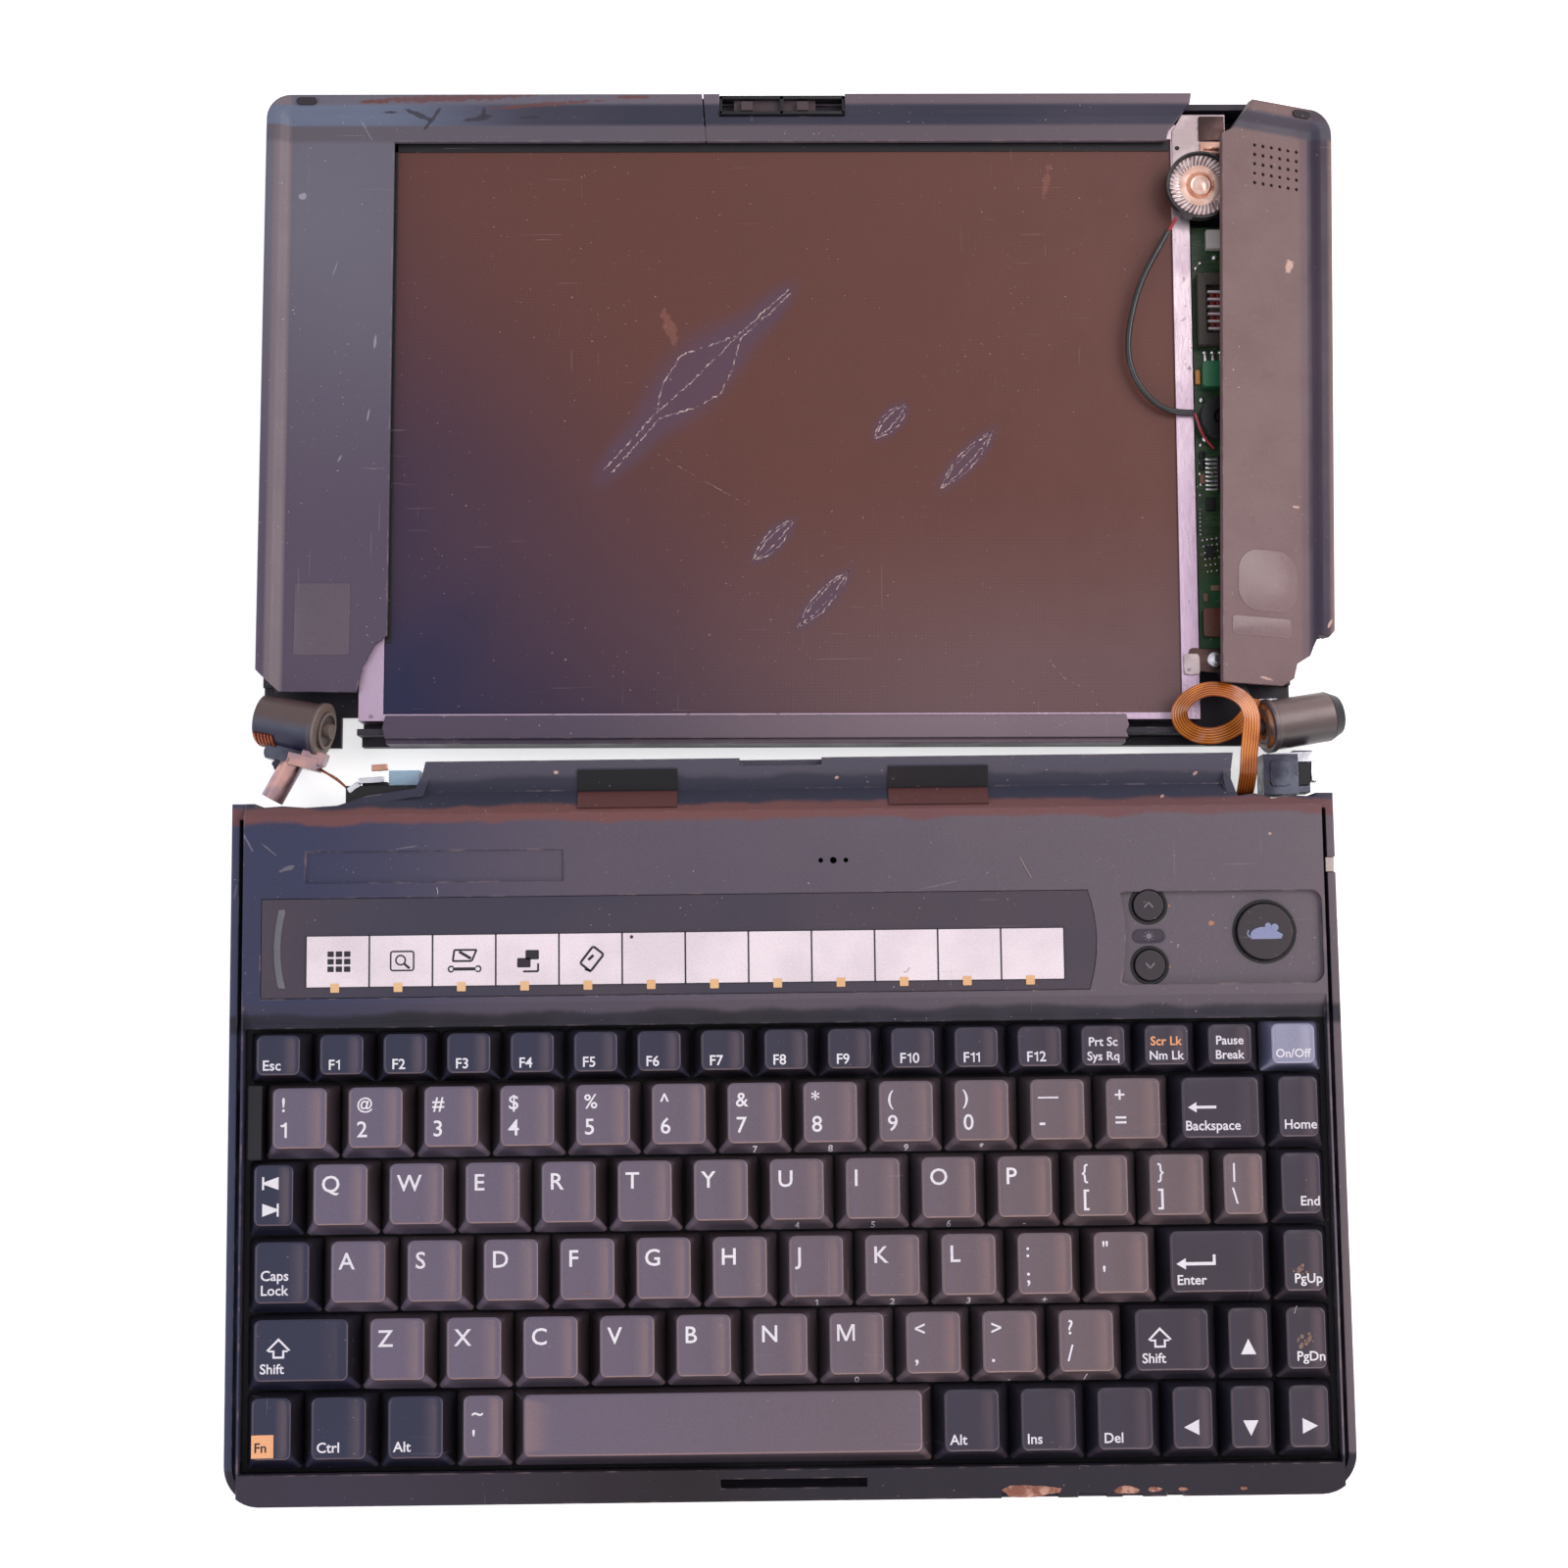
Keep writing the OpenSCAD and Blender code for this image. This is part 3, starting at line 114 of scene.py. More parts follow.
class Look:
    """A material built node by node."""

    def __init__(self, name, colour, rough=0.5, metal=0.0):
        self.material = bpy.data.materials.new(name)
        self.material.use_nodes = True
        self.tree = self.material.node_tree
        self.shader = self.tree.nodes["Principled BSDF"]
        self.shader.inputs["Metallic"].default_value = metal
        self.place = self.node("TexCoord", "Object")
        self.colour = colour
        self.rough = rough
        self.height = None

    def feed(self, socket, value):
        """Links a socket to an output, or sets it to a plain value."""
        if isinstance(value, bpy.types.NodeSocket):
            self.tree.links.new(value, socket)
        else:
            socket.default_value = value

    def node(self, kind, output, inputs=None, **settings):
        """Adds a node with its settings and inputs, and gives one of its outputs."""
        node = self.tree.nodes.new("ShaderNode" + kind)
        for name, value in settings.items():
            setattr(node, name, value)
        for socket, value in (inputs or {}).items():
            self.feed(node.inputs[socket], value)
        return node.outputs[output]

    def noise(self, scale, detail=3.0, stretch=(1, 1, 1), turn=0.0, rough=0.5):
        """Noise, with features of about 1 m / scale, stretched along an axis turned about Z."""
        place = self.node("Mapping", "Vector", {"Rotation": (0, 0, turn), "Scale": stretch,
                                                "Vector": self.place})
        return self.node("TexNoise", "Fac", {"Vector": place, "Scale": scale, "Detail": detail,
                                             "Roughness": rough})

    def ramp(self, value, low, high, start=0.0, end=1.0):
        """A smooth step from start to end as a value goes from low to high."""
        inputs = {"Value": value, "From Min": low, "From Max": high, "To Min": start, "To Max": end}
        return self.node("MapRange", "Result", inputs, interpolation_type="SMOOTHSTEP")

    def math(self, kind, first, second=0.0):
        return self.node("Math", 0, {0: first, 1: second}, operation=kind)

    def mix(self, factor, first, second):
        return self.node("Mix", 2, {0: factor, 6: first, 7: second}, data_type="RGBA")

    def dot(self, first, second):
        return self.node("VectorMath", "Value", {0: first, 1: second}, operation="DOT_PRODUCT")

    def paint(self, factor, colour, share=None):
        """Lays a colour over the colour so far, by a factor, or by a factor times a share."""
        if share is not None:
            factor = self.math("MULTIPLY", factor, share)
        self.colour = self.mix(factor, self.colour, colour)

    def raise_by(self, amount, share=1.0):
        """Adds to the height that the bump follows."""
        added = self.math("MULTIPLY", amount, share)
        self.height = added if self.height is None else self.math("ADD", self.height, added)

    def mapped(self, matrix):
        """Row frame coordinates seen from a frame, in its own units."""
        spot, turn, scale = matrix.decompose()
        inputs = {"Location": spot, "Rotation": turn.to_euler(), "Scale": scale, "Vector": self.place}
        return self.node("Mapping", "Vector", inputs, vector_type="TEXTURE")

    def along(self, axis, vector=None):
        """One coordinate of a place, in the row frame unless another is given."""
        return self.node("SeparateXYZ", axis, {0: vector or self.place})

    def spot(self, matrix, mark, soft=0.25, ragged=0.0):
        """1 inside an oval mark, given as x, y, two radii and a turn in degrees in a frame's millimetres."""
        x, y, long, short, turn = mark
        oval = matrix @ Matrix.Translation((x, y, 0)) @ Matrix.Rotation(math.radians(turn), 4, "Z")
        inside = self.mapped(oval @ Matrix.Diagonal((long, short, 1000, 1)))
        reach = self.node("VectorMath", "Value", {0: inside}, operation="LENGTH")
        if ragged:
            reach = self.math("ADD", reach, self.ramp(self.noise(500, 4), 0.3, 0.7, -ragged, ragged))
        return self.ramp(reach, 1 + soft, 1 - soft)

    def facing(self, direction, low, high):
        """0 to 1 as the surface turns to face a direction in the row frame."""
        return self.ramp(self.dot(self.node("NewGeometry", "Normal"), direction), low, high)

    def paint_light_by_facing(self, direction, share, colour, low=0.15, high=0.55):
        """Paints light and shade by the way a face looks: lays a colour over the faces that look in a
        direction.
        """
        self.paint(self.facing(direction, low, high), colour, share)

    def banded(self, value, low, high, soft, share, colour):
        """The colour so far with a soft-edged band between two values."""
        inside = self.math("MULTIPLY", self.ramp(value, low - soft, low + soft, 0, share),
                           self.ramp(value, high + soft, high - soft))
        return self.mix(inside, self.colour, colour)

    def band(self, *marks):
        self.colour = self.banded(*marks)

    def across(self, axis, low, high, colour):
        """Turns to a colour from low to high millimetres along an axis of the row frame."""
        self.paint(self.ramp(self.along(axis), low * MM, high * MM), colour)

    def rounding(self, radius):
        """The normal with edges rounded off over a radius in millimetres."""
        return self.node("Bevel", "Normal", {"Radius": radius * MM}, samples=4)

    def edges(self, radius):
        """1 on worn edges, 0 elsewhere."""
        return self.ramp(self.dot(self.rounding(radius), self.node("NewGeometry", "Normal")), 0.97, 0.86)

    def done(self, bump=0.3, bevel=0.0):
        """Links the shader, and gives the material."""
        self.feed(self.shader.inputs["Base Color"], self.colour)
        self.feed(self.shader.inputs["Roughness"], self.rough)
        normal = self.rounding(bevel) if bevel else None
        if self.height is not None:
            inputs = {"Strength": bump, "Distance": BUMP_DEPTH, "Height": self.height}
            if normal is not None:
                inputs["Normal"] = normal
            normal = self.node("Bump", "Normal", inputs)
        if normal is not None:
            self.feed(self.shader.inputs["Normal"], normal)
        return self.material


def two_tone(name, first, second, rough, patches, grain, metal=0.0):
    """A plain look: a second tone in patches (scale, detail, low, high) and a grain (scale, share)."""
    look = Look(name, first, rough, metal)
    scale, detail, low, high = patches
    look.paint(look.ramp(look.noise(scale, detail), low, high), second)
    look.raise_by(look.noise(grain[0], 2), grain[1])
    return look.done()


def scratches(look):
    """Fine scratches in two directions, in patches."""
    for turn, stretch in ((0.6, (1, 34, 1)), (-1.0, (28, 1, 1))):
        line = look.noise(46, 1.5, stretch=stretch, turn=turn)
        scratch = look.math("MULTIPLY", look.ramp(line, 0.742, 0.765), look.ramp(look.noise(24), 0.5, 0.62))
        look.paint(scratch, rgb(170, 156, 160), 0.2)


def dusty(look, dust):
    """Dust as small specks, thicker in patches."""
    specks = look.ramp(look.noise(1500, 1), 0.765, 0.79, 0, 0.85 * dust)
    look.paint(specks, rgb(205, 190, 192), look.ramp(look.noise(30, 3), 0.42, 0.6))


def plastic(name, colour, second, grain=0.5, rough=0.5, dust=1.0, edge=0.0, bevel=0.5, shine=0.3,
            extra=None):
    """Moulded plastic: a fine grain, two tones, fine scratches, worn edges and dust."""
    look = Look(name, colour)
    look.shader.inputs["Specular IOR Level"].default_value = shine
    mottle = look.ramp(look.noise(14, 4), 0.35, 0.65)
    if extra:
        extra(look)
        look.paint(mottle, second, 0.22)
    else:
        look.paint(mottle, second)
    wear = look.noise(60, 6, rough=0.7)
    look.rough = look.ramp(wear, 0.3, 0.75, rough - 0.08, rough + 0.1)
    if edge:
        rim = look.math("MULTIPLY", look.edges(0.7), look.ramp(look.noise(220, 3), 0.5, 0.68, 0, edge))
        look.paint(rim, rgb(172, 148, 148))
    grit = look.ramp(look.noise(2600, 2), 0.35, 0.65)
    look.paint(grit, rgb(20, 18, 22), 0.1)
    scratches(look)
    if dust:
        dusty(look, dust)
    look.raise_by(look.noise(3600, 2), 0.35 * grain)
    look.raise_by(wear, 0.35)
    return look.done(bump=0.5, bevel=bevel)


def ink(name, colour, second, rough=0.5):
    """Printing, and other small clean marks."""
    return plastic(name, colour, second, rough=rough, dust=0, bevel=0)


def metal(name, colour, second, rough=0.34, brushed=(1, 1, 1), spots=0.5, bevel=0.2, extra=None):
    """Sheet metal or castings: brushed or cast grain, tarnish in patches and dark spots."""
    look = Look(name, colour, metal=0.85)
    look.paint(look.ramp(look.noise(70, 5), 0.4, 0.62), second)
    if extra:
        extra(look)
    look.paint(look.ramp(look.noise(420, 3), 0.66, 0.72, 0, spots), rgb(60, 50, 50))
    look.rough = look.ramp(look.noise(260, 3, stretch=brushed), 0.3, 0.7, rough - 0.1, rough + 0.14)
    look.raise_by(look.noise(900, 3, stretch=brushed), 0.6)
    return look.done(bump=0.35, bevel=bevel)


PALE_CHIP = rgb(214, 176, 164)


def chips(look, matrix, marks, colour=PALE_CHIP, share=0.9, ragged=0.35):
    """Ragged marks such as chips, scuffs and stains."""
    for mark in marks:
        look.paint(look.spot(matrix, mark, 0.2, ragged), colour, share)


def base_tones(look):
    """The base's plastic, with painted light: bluer at its left and warmer towards its right, painted shade
    on its slopes by the way they look, bands of painted reflection across its rear, and painted shade in the
    gap between the keys and the label panel.
    """
    # Painted light: bluer and darker at the left, lighter and warmer towards the right.
    look.across("X", -134, -50, rgb(94, 84, 98))
    look.across("X", -60, 110, rgb(112, 101, 108))
    # Painted shade by the way each face looks: bluish to the back and the left, purplish to the front, warm
    # to the right.
    look.paint_light_by_facing((0, 1, 0), 0.75, rgb(52, 52, 66))
    look.paint_light_by_facing((0, -1, 0), 0.6, rgb(66, 56, 66))
    look.paint_light_by_facing((1, 0, 0), 0.7, rgb(62, 46, 52), 0.3, 0.8)
    look.paint_light_by_facing((-1, 0, 0), 0.7, rgb(44, 46, 68), 0.3, 0.8)
    depth = look.along("Y", look.mapped(BASE))
    depth = look.math("ADD", depth, look.ramp(look.noise(60, 4), 0.3, 0.7, -0.7, 0.7))
    # Painted reflection on the rear slopes: blue-black, then grey-blue further back.
    look.band(depth, 173, 181, 1.0, 0.9, rgb(46, 47, 64))
    look.band(depth, 181, 190, 1.2, 0.9, rgb(80, 78, 92))
    # Painted bluish light on the base's left end.
    look.paint(look.ramp(look.along("X"), -142.2 * MM, -142.8 * MM, 0, 0.8), rgb(72, 75, 100))
    walls = look.colour
    # A reddish band of painted reflection on the slope that looks to the back.
    look.band(depth, 169.2, 173.4, 0.7, 0.85, rgb(122, 76, 72))
    # Painted shade in the gap between the keys and the label panel.
    look.band(depth, 116.4, 121, 0.9, 0.9, rgb(24, 21, 30))
    rail = look.ramp(depth, 9.4, 8.2, 0, 0.95)
    look.paint(rail, rgb(54, 46, 60))
    look.paint(rail, rgb(24, 15, 19), look.ramp(look.along("X"), -0.12, -0.02))
    look.colour = look.mix(look.ramp(look.along("Z"), 20 * MM, 22 * MM), walls, look.colour)
    chips(look, BASE, BASE_CHIPS)
    chips(look, BASE, DUST_ORANGE, rgb(206, 140, 96), 0.9)
    chips(look, BASE, BASE_SCUFFS, rgb(150, 140, 150), 0.5)


def lid_tones(look):
    """The lid's bezel, with painted light: darker towards the hinge and lighter and warmer to the right, a
    painted bluish reflection and painted shade along its far groove, a painted warm highlight along its left
    one, painted bluish shade on faces that look left, and cracks in the groove.
    """
    spot = look.mapped(LID)
    # Painted light: darker towards the hinge, lighter and warmer to the right.
    look.across("Y", 150, 60, rgb(86, 74, 93))
    look.across("X", -100, 40, rgb(108, 94, 104))
    look.across("X", 40, 110, rgb(122, 105, 113))
    u, v = look.along("X", spot), look.along("Y", spot)
    # A painted warm highlight on the left groove's slope.
    look.band(u, -134.6, -130.2, 0.5, 0.85, rgb(134, 120, 126))
    look.band(v, 163, 168, 0.8, 0.5, rgb(84, 76, 82))
    # The far groove's slope: a pale bluish painted reflection at its left end, and dark navy painted shade
    # from the middle on.
    far = look.ramp(u, -110, -60)
    look.colour = look.mix(far, look.banded(v, 167.6, 172.8, 0.5, 0.9, rgb(110, 122, 146)),
                           look.banded(v, 167.6, 172.8, 0.6, 0.95, rgb(40, 43, 62)))
    low = look.math("MULTIPLY", look.ramp(v, 9, 6), look.ramp(u, -60, 60))
    look.paint(low, rgb(140, 120, 130))
    # Painted bluish shade on faces that look to the left.
    look.paint_light_by_facing((-1, 0, 0), 0.5, rgb(60, 58, 84), 0.4, 0.8)
    chips(look, LID, LID_SCUFFS, rgb(110, 62, 52), 0.75)
    chips(look, LID, LID_CRACKS, rgb(28, 28, 36), 0.8)
    chips(look, LID, LID_SCRATCHES, rgb(186, 180, 196), 0.6, 0.2)


def side_tones(look):
    """The broken bezel piece is painted lighter, as painted light, since it catches more light; its outer
    groove and its far step get bluish purple painted shade.
    """
    spot = look.mapped(SIDE)
    out, along = look.along("X", spot), look.along("Y", spot)
    # Painted light: a little paler towards the piece's near end.
    look.across("Y", 150, 30, rgb(122, 98, 100))
    # Painted bluish purple shade in the outer groove.
    look.band(out, 24.2, 31.4, 0.9, 0.55, rgb(92, 76, 90))
    look.band(out, 26.4, 31.8, 0.7, 0.95, rgb(46, 37, 58))
    # Painted blue-grey shade on the far step.
    look.band(along, 164.6, 169.6, 0.7, 0.9, rgb(62, 62, 78))
    chips(look, SIDE, SIDE_CHIPS)
    chips(look, SIDE, SIDE_STAINS, rgb(112, 88, 88), 0.5, 0.5)


def cap_tones(dark, rim, light, blue_reflection):
    """Painted light on a cap: painted shade on its skirts, a painted highlight on its rim at the front
    right, a painted bluish reflection on its top and the left of its dish, a lighter painted reflection on
    the right of its dish, and painted light turning warmer towards the right of the keyboard.
    """
    def extra(look):
        # Painted reflection: bluish on the tops, turning to warmer painted light towards the right.
        look.paint_light_by_facing((0, 0, 1), 1.0, blue_reflection, 0.2, 0.6)
        look.across("X", -120, 110, light)
        # Painted reflection in the dish: lighter on its right, bluish on its left.
        top = look.facing((0, 0, 1), 0.93, 0.985)
        right = look.math("MULTIPLY", look.facing((-1, 0, 0), 0.02, 0.11), top)
        look.paint(right, rim, 0.5)
        left = look.math("MULTIPLY", look.facing((1, 0, 0), 0.02, 0.12), top)
        look.paint(left, blue_reflection, 0.35)
        # A painted highlight on the rim where it looks to the front and right.
        lip = look.math("MULTIPLY", look.facing((0, 0, 1), 0.55, 0.75), look.facing((0, 0, 1), 0.97, 0.9))
        corner = look.facing((0.6, -0.75, 0), -0.15, 0.25)
        look.paint(look.math("MULTIPLY", lip, corner), rim, 0.75)
        # Painted shade on the skirts.
        look.paint(look.facing((0, 0, 1), 0.6, 0.35), dark)
    return extra


BASE_CHIPS = [(97, 174, 0.6, 0.35, 30), (-30, 176, 0.4, 0.3, 0), (14, 180, 0.5, 0.3, 20),
              (106, 180, 0.8, 0.5, 40),
              (124, 164, 0.35, 0.35, 0), (-116, 183, 1.8, 0.6, 8), (-58, 182, 0.6, 0.4, 0),
              (100, 136, 0.35, 0.3, 0)]
DUST_ORANGE = [(108.6, 141.5, 0.55, 0.5, 0), (97.5, 130.5, 0.6, 0.45, 0), (98, 146, 0.3, 0.3, 0)]
BASE_SCUFFS = [(-137, 166, 4, 0.25, -60), (-131, 163, 3, 0.2, -40), (57, 148.5, 3, 0.14, -62),
               (-140, 152, 2, 0.2, 80),
               (-126, 158, 2.4, 0.5, 20), (40, 152, 5, 0.12, 12), (-96, 163, 3, 0.16, 8)]
LID_SCUFFS = [(-88, 174.6, 20, 0.9, 2), (-62, 172.8, 16, 0.5, 4), (-38, 174.8, 5, 0.5, 0),
              (-108, 173.6, 4, 0.5, 0)]
LID_CRACKS = [(-96, 170.4, 4, 0.5, -20), (-92.5, 169.2, 3, 0.45, 50), (-80, 169.6, 3.4, 0.6, 10),
              (-78.6, 171, 1.2, 0.5, 70), (-104, 171, 2, 0.3, 0), (-66, 169.8, 3, 0.3, 0)]
LID_SCRATCHES = [(-110, 166, 3.5, 0.1, -60), (-107, 108, 1.6, 0.3, 85), (-108.5, 88, 1.8, 0.2, 80),
                 (-127, 148, 1, 1, 0), (-118, 128, 2, 0.1, 70), (-116, 76, 1, 0.25, 60)]
SIDE_CHIPS = [(20.5, 128.4, 1.7, 1.4, 60), (22.4, 63, 0.9, 0.35, 0), (13, 16.5, 2.2, 0.35, -10),
              (31.5, 32, 1.2, 0.35, 60)]
SIDE_STAINS = [(9, 130, 1.2, 1.6, 0), (4, 154, 0.8, 0.8, 0), (14, 98, 2.4, 1.2, 0), (9, 58, 1.2, 1, 0)]

# base_tones, lid_tones and side_tones paint light and shade into these plastics, beside their chips, scuffs,
# cracks, scratches and stains.
HOUSING = plastic("housing_plastic", rgb(54, 57, 86), rgb(62, 60, 82), edge=0.6, rough=0.5, extra=base_tones)
BEZEL = plastic("bezel_plastic", rgb(112, 108, 121), rgb(94, 84, 100), edge=0.6, rough=0.48, extra=lid_tones)
# The side piece's lighter colours are painted light: it catches more light than the bezel.
SIDE_PLASTIC = plastic("side_piece_plastic", rgb(119, 93, 93), rgb(110, 88, 92), edge=0.6, rough=0.52,
                       extra=side_tones)
# The four colours given to cap_tones are painted shade, a painted highlight, painted light to the right and
# a painted bluish reflection.
LETTER_CAP = plastic("letter_cap_plastic", rgb(66, 56, 62), rgb(110, 98, 108), rough=0.4, dust=0.4, bevel=0,
                     extra=cap_tones(rgb(46, 37, 41), rgb(166, 136, 132), rgb(114, 98, 102),
                                     rgb(112, 102, 122)))
MODIFIER_CAP = plastic("modifier_cap_plastic", rgb(34, 31, 38), rgb(58, 56, 76), rough=0.4, dust=0.4,
                       bevel=0,
                       extra=cap_tones(rgb(28, 24, 31), rgb(116, 98, 104), rgb(66, 58, 68), rgb(50, 51, 74)))
POWER_CAP = plastic("power_cap_plastic", rgb(120, 120, 150), rgb(150, 150, 176), rough=0.42, dust=0.4,
                    bevel=0, extra=cap_tones(rgb(84, 84, 112), rgb(196, 192, 212), rgb(150, 150, 176),
                                    rgb(150, 150, 178)))
DARK = plastic("dark_plastic", rgb(30, 28, 34), rgb(24, 23, 30), rough=0.5, dust=0.7)
BLACK = plastic("black_plastic", rgb(24, 23, 27), rgb(30, 28, 32), rough=0.42, dust=0.7, bevel=0.25)
RUBBER = plastic("black_rubber", rgb(50, 47, 52), rgb(60, 55, 60), rough=0.78, dust=0.8, bevel=0.3)
PANEL = plastic("panel_print", rgb(64, 60, 76), rgb(76, 67, 78), rough=0.42, dust=1.0, bevel=0.2)
SILVER = metal("bright_metal", rgb(214, 200, 210), rgb(184, 168, 182), brushed=(1, 12, 1))
STEEL = metal("cast_steel", rgb(150, 138, 138), rgb(112, 100, 104), rough=0.42)
FRAME_METAL = metal("frame_metal", rgb(210, 194, 202), rgb(184, 164, 178), rough=0.4, brushed=(14, 1, 1),
                    extra=lambda look: look.across("Y", 150, 40, rgb(176, 154, 176)))
LEGEND = ink("legend_ink", rgb(246, 243, 248), rgb(232, 228, 238))
INK = ink("dark_ink", rgb(44, 40, 50), rgb(52, 48, 58))
CAP_BAR = ink("cap_bar", rgb(140, 108, 104), rgb(120, 94, 94), 0.4)
ORANGE_INK = ink("orange_ink", rgb(255, 188, 140), rgb(248, 174, 124))


# ---- Pieces ----

def add(name, shape, matrix, body, material, crease=32.0, replaces=()):
    """Turns a bmesh in millimetres into a piece that rides on a body."""
    shape.transform(matrix)
    mesh = bpy.data.meshes.new(name)
    shape.to_mesh(mesh)
    shape.free()
    mesh.shade_smooth()
    mesh.set_sharp_from_angle(angle=math.radians(crease))
    for one in material if isinstance(material, list) else [material]:
        mesh.materials.append(one)
    piece = bpy.data.objects.new(name, mesh)
    bpy.context.scene.collection.objects.link(piece)
    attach(piece, body)
    if replaces:
        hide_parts(*replaces)
    return piece


def rounded(x0, y0, x1, y1, radius, steps=5, sides=1):
    """A rounded rectangle's points, anticlockwise, seen from above, with each side in that many parts."""
    middles = [(x1 - radius, y1 - radius), (x0 + radius, y1 - radius), (x0 + radius, y0 + radius),
               (x1 - radius, y0 + radius)]
    points = []
    for quarter, (x, y) in enumerate(middles):
        for step in range(steps + 1):
            angle = math.radians(90 * (quarter + step / steps))
            points.append((x + radius * math.cos(angle), y + radius * math.sin(angle)))
        angle = math.radians(90 * (quarter + 1))
        after = middles[(quarter + 1) % 4]
        end = (after[0] + radius * math.cos(angle), after[1] + radius * math.sin(angle))
        start = points[-1]
        for part in range(1, sides):
            share = part / sides
            points.append((start[0] + (end[0] - start[0]) * share, start[1] + (end[1] - start[1]) * share))
    return points


def loft(shape, rings, cap_low=False, cap_high=True, index=0):
    """Joins rings of as many points each, and closes the ends."""
    made = [[shape.verts.new(point) for point in ring] for ring in rings]
    count = len(rings[0])
    faces = []
    for low, high in zip(made, made[1:]):
        for i in range(count):
            j = (i + 1) % count
            faces.append(shape.faces.new((low[i], low[j], high[j], high[i])))
    if cap_high:
        faces.append(shape.faces.new(made[-1]))
    if cap_low:
        faces.append(shape.faces.new(made[0][::-1]))
    for face in faces:
        face.material_index = index
    return made


def face_up(shape, verts, index):
    """A face that looks up whichever way its corners run."""
    face = shape.faces.new(verts)
    face.normal_update()
    if face.normal.z < 0:
        face.normal_flip()
    face.material_index = index


def flat(shape, points, z, index=0):
    """A flat polygon, seen from above."""
    shape.faces.new([shape.verts.new((x, y, z)) for x, y in points]).material_index = index


def slab(shape, points, z0, z1, edge=0.0, index=0):
    """An upright prism over points, with its top edge rounded off by edge."""
    if not edge:
        return loft(shape, [[(x, y, z0) for x, y in points], [(x, y, z1) for x, y in points]], index=index)
    middle_x = sum(x for x, _ in points) / len(points)
    middle_y = sum(y for _, y in points) / len(points)

    def shrunk(inset):
        inner = []
        for x, y in points:
            reach = math.hypot(x - middle_x, y - middle_y)
            share = 1 - inset / reach
            inner.append((middle_x + (x - middle_x) * share, middle_y + (y - middle_y) * share))
        return inner
    rings = [[(x, y, z0) for x, y in points], [(x, y, z1 - edge) for x, y in points]]
    for inset, drop in ((0.29, 0.29), (1.0, 0.0)):
        rings.append([(x, y, z1 - edge * drop) for x, y in shrunk(edge * inset)])
    return loft(shape, rings, index=index)


def finish_nodes(names, material):
    """Gives CAD nodes their finish."""
    for name in names:
        node = NODES[name]
        for place in node.material_slots:
            place.material = material
        if not node.material_slots:
            node.data.materials.append(material)


def islands(node):
    """The separate solids of a CAD node, as pairs of corners in base millimetres, from left to right."""
    shape = bmesh.new()
    shape.from_mesh(NODES[node].data)
    bmesh.ops.remove_doubles(shape, verts=shape.verts, dist=1e-6)
    shape.transform(BASE.inverted())
    left = set(shape.verts)
    found = []
    while left:
        queue = [left.pop()]
        seen = list(queue)
        while queue:
            for edge in queue.pop().link_edges:
                for vert in edge.verts:
                    if vert in left:
                        left.discard(vert)
                        queue.append(vert)
                        seen.append(vert)
        low = [min(vert.co[axis] for vert in seen) for axis in range(3)]
        high = [max(vert.co[axis] for vert in seen) for axis in range(3)]
        found.append((low, high))
    shape.free()
    return sorted(found, key=lambda pair: (-round(pair[0][1]), pair[0][0]))


# ---- Camera, light and floor ----

ROLL = math.radians(-0.68)
FLOOR_GLOW = 0.62


def make_camera():
    data = bpy.data.cameras.new("camera")
    data.lens = 49.7
    data.sensor_width = 36
    camera = bpy.data.objects.new("camera", data)
    bpy.context.scene.collection.objects.link(camera)
    eye = BASE @ Vector((-1.9, 124.1, 576))
    aim = BASE @ Vector((0.3, 178.15, DECK))
    back = (eye - aim).normalized()
    right = Vector((0, 1, 0)).cross(back).normalized()
    turn = Matrix((right, back.cross(right), back)).transposed().to_4x4()
    camera.matrix_world = Matrix.Translation(eye) @ turn @ Matrix.Rotation(ROLL, 4, "Z")
    bpy.context.scene.camera = camera


def lamp(name, place, aim, size, power, colour):
    data = bpy.data.lights.new(name, "AREA")
    data.shape = "RECTANGLE"
    data.size = size[0]
    data.size_y = size[1]
    data.energy = power
    data.color = colour
    light = bpy.data.objects.new(name, data)
    light.location = place
    light.rotation_mode = "QUATERNION"
    light.rotation_quaternion = (Vector(aim) - Vector(place)).to_track_quat("-Z", "Y")
    bpy.context.scene.collection.objects.link(light)


def pale_rays(tree):
    """1 on rays that should see the plain background: the camera's, and those mirrored or let through."""
    path = tree.nodes.new("ShaderNodeLightPath")
    total = path.outputs["Is Camera Ray"]
    for name in ("Is Glossy Ray", "Is Transmission Ray"):
        node = tree.nodes.new("ShaderNodeMath")
        node.operation = "MAXIMUM"
        tree.links.new(total, node.inputs[0])
        tree.links.new(path.outputs[name], node.inputs[1])
        total = node.outputs[0]
    return total


def make_world():
    world = bpy.data.worlds.new("room")
    bpy.context.scene.world = world
    world.use_nodes = True
    tree = world.node_tree
    back = tree.nodes["Background"]
    mix = tree.nodes.new("ShaderNodeMix")
    mix.data_type = "RGBA"
    tree.links.new(pale_rays(tree), mix.inputs[0])
    mix.inputs[6].default_value = (0.42, 0.42, 0.45, 1)
    mix.inputs[7].default_value = (0.96, 0.96, 0.97, 1)
    tree.links.new(mix.outputs[2], back.inputs["Color"])
    back.inputs["Strength"].default_value = 1.0


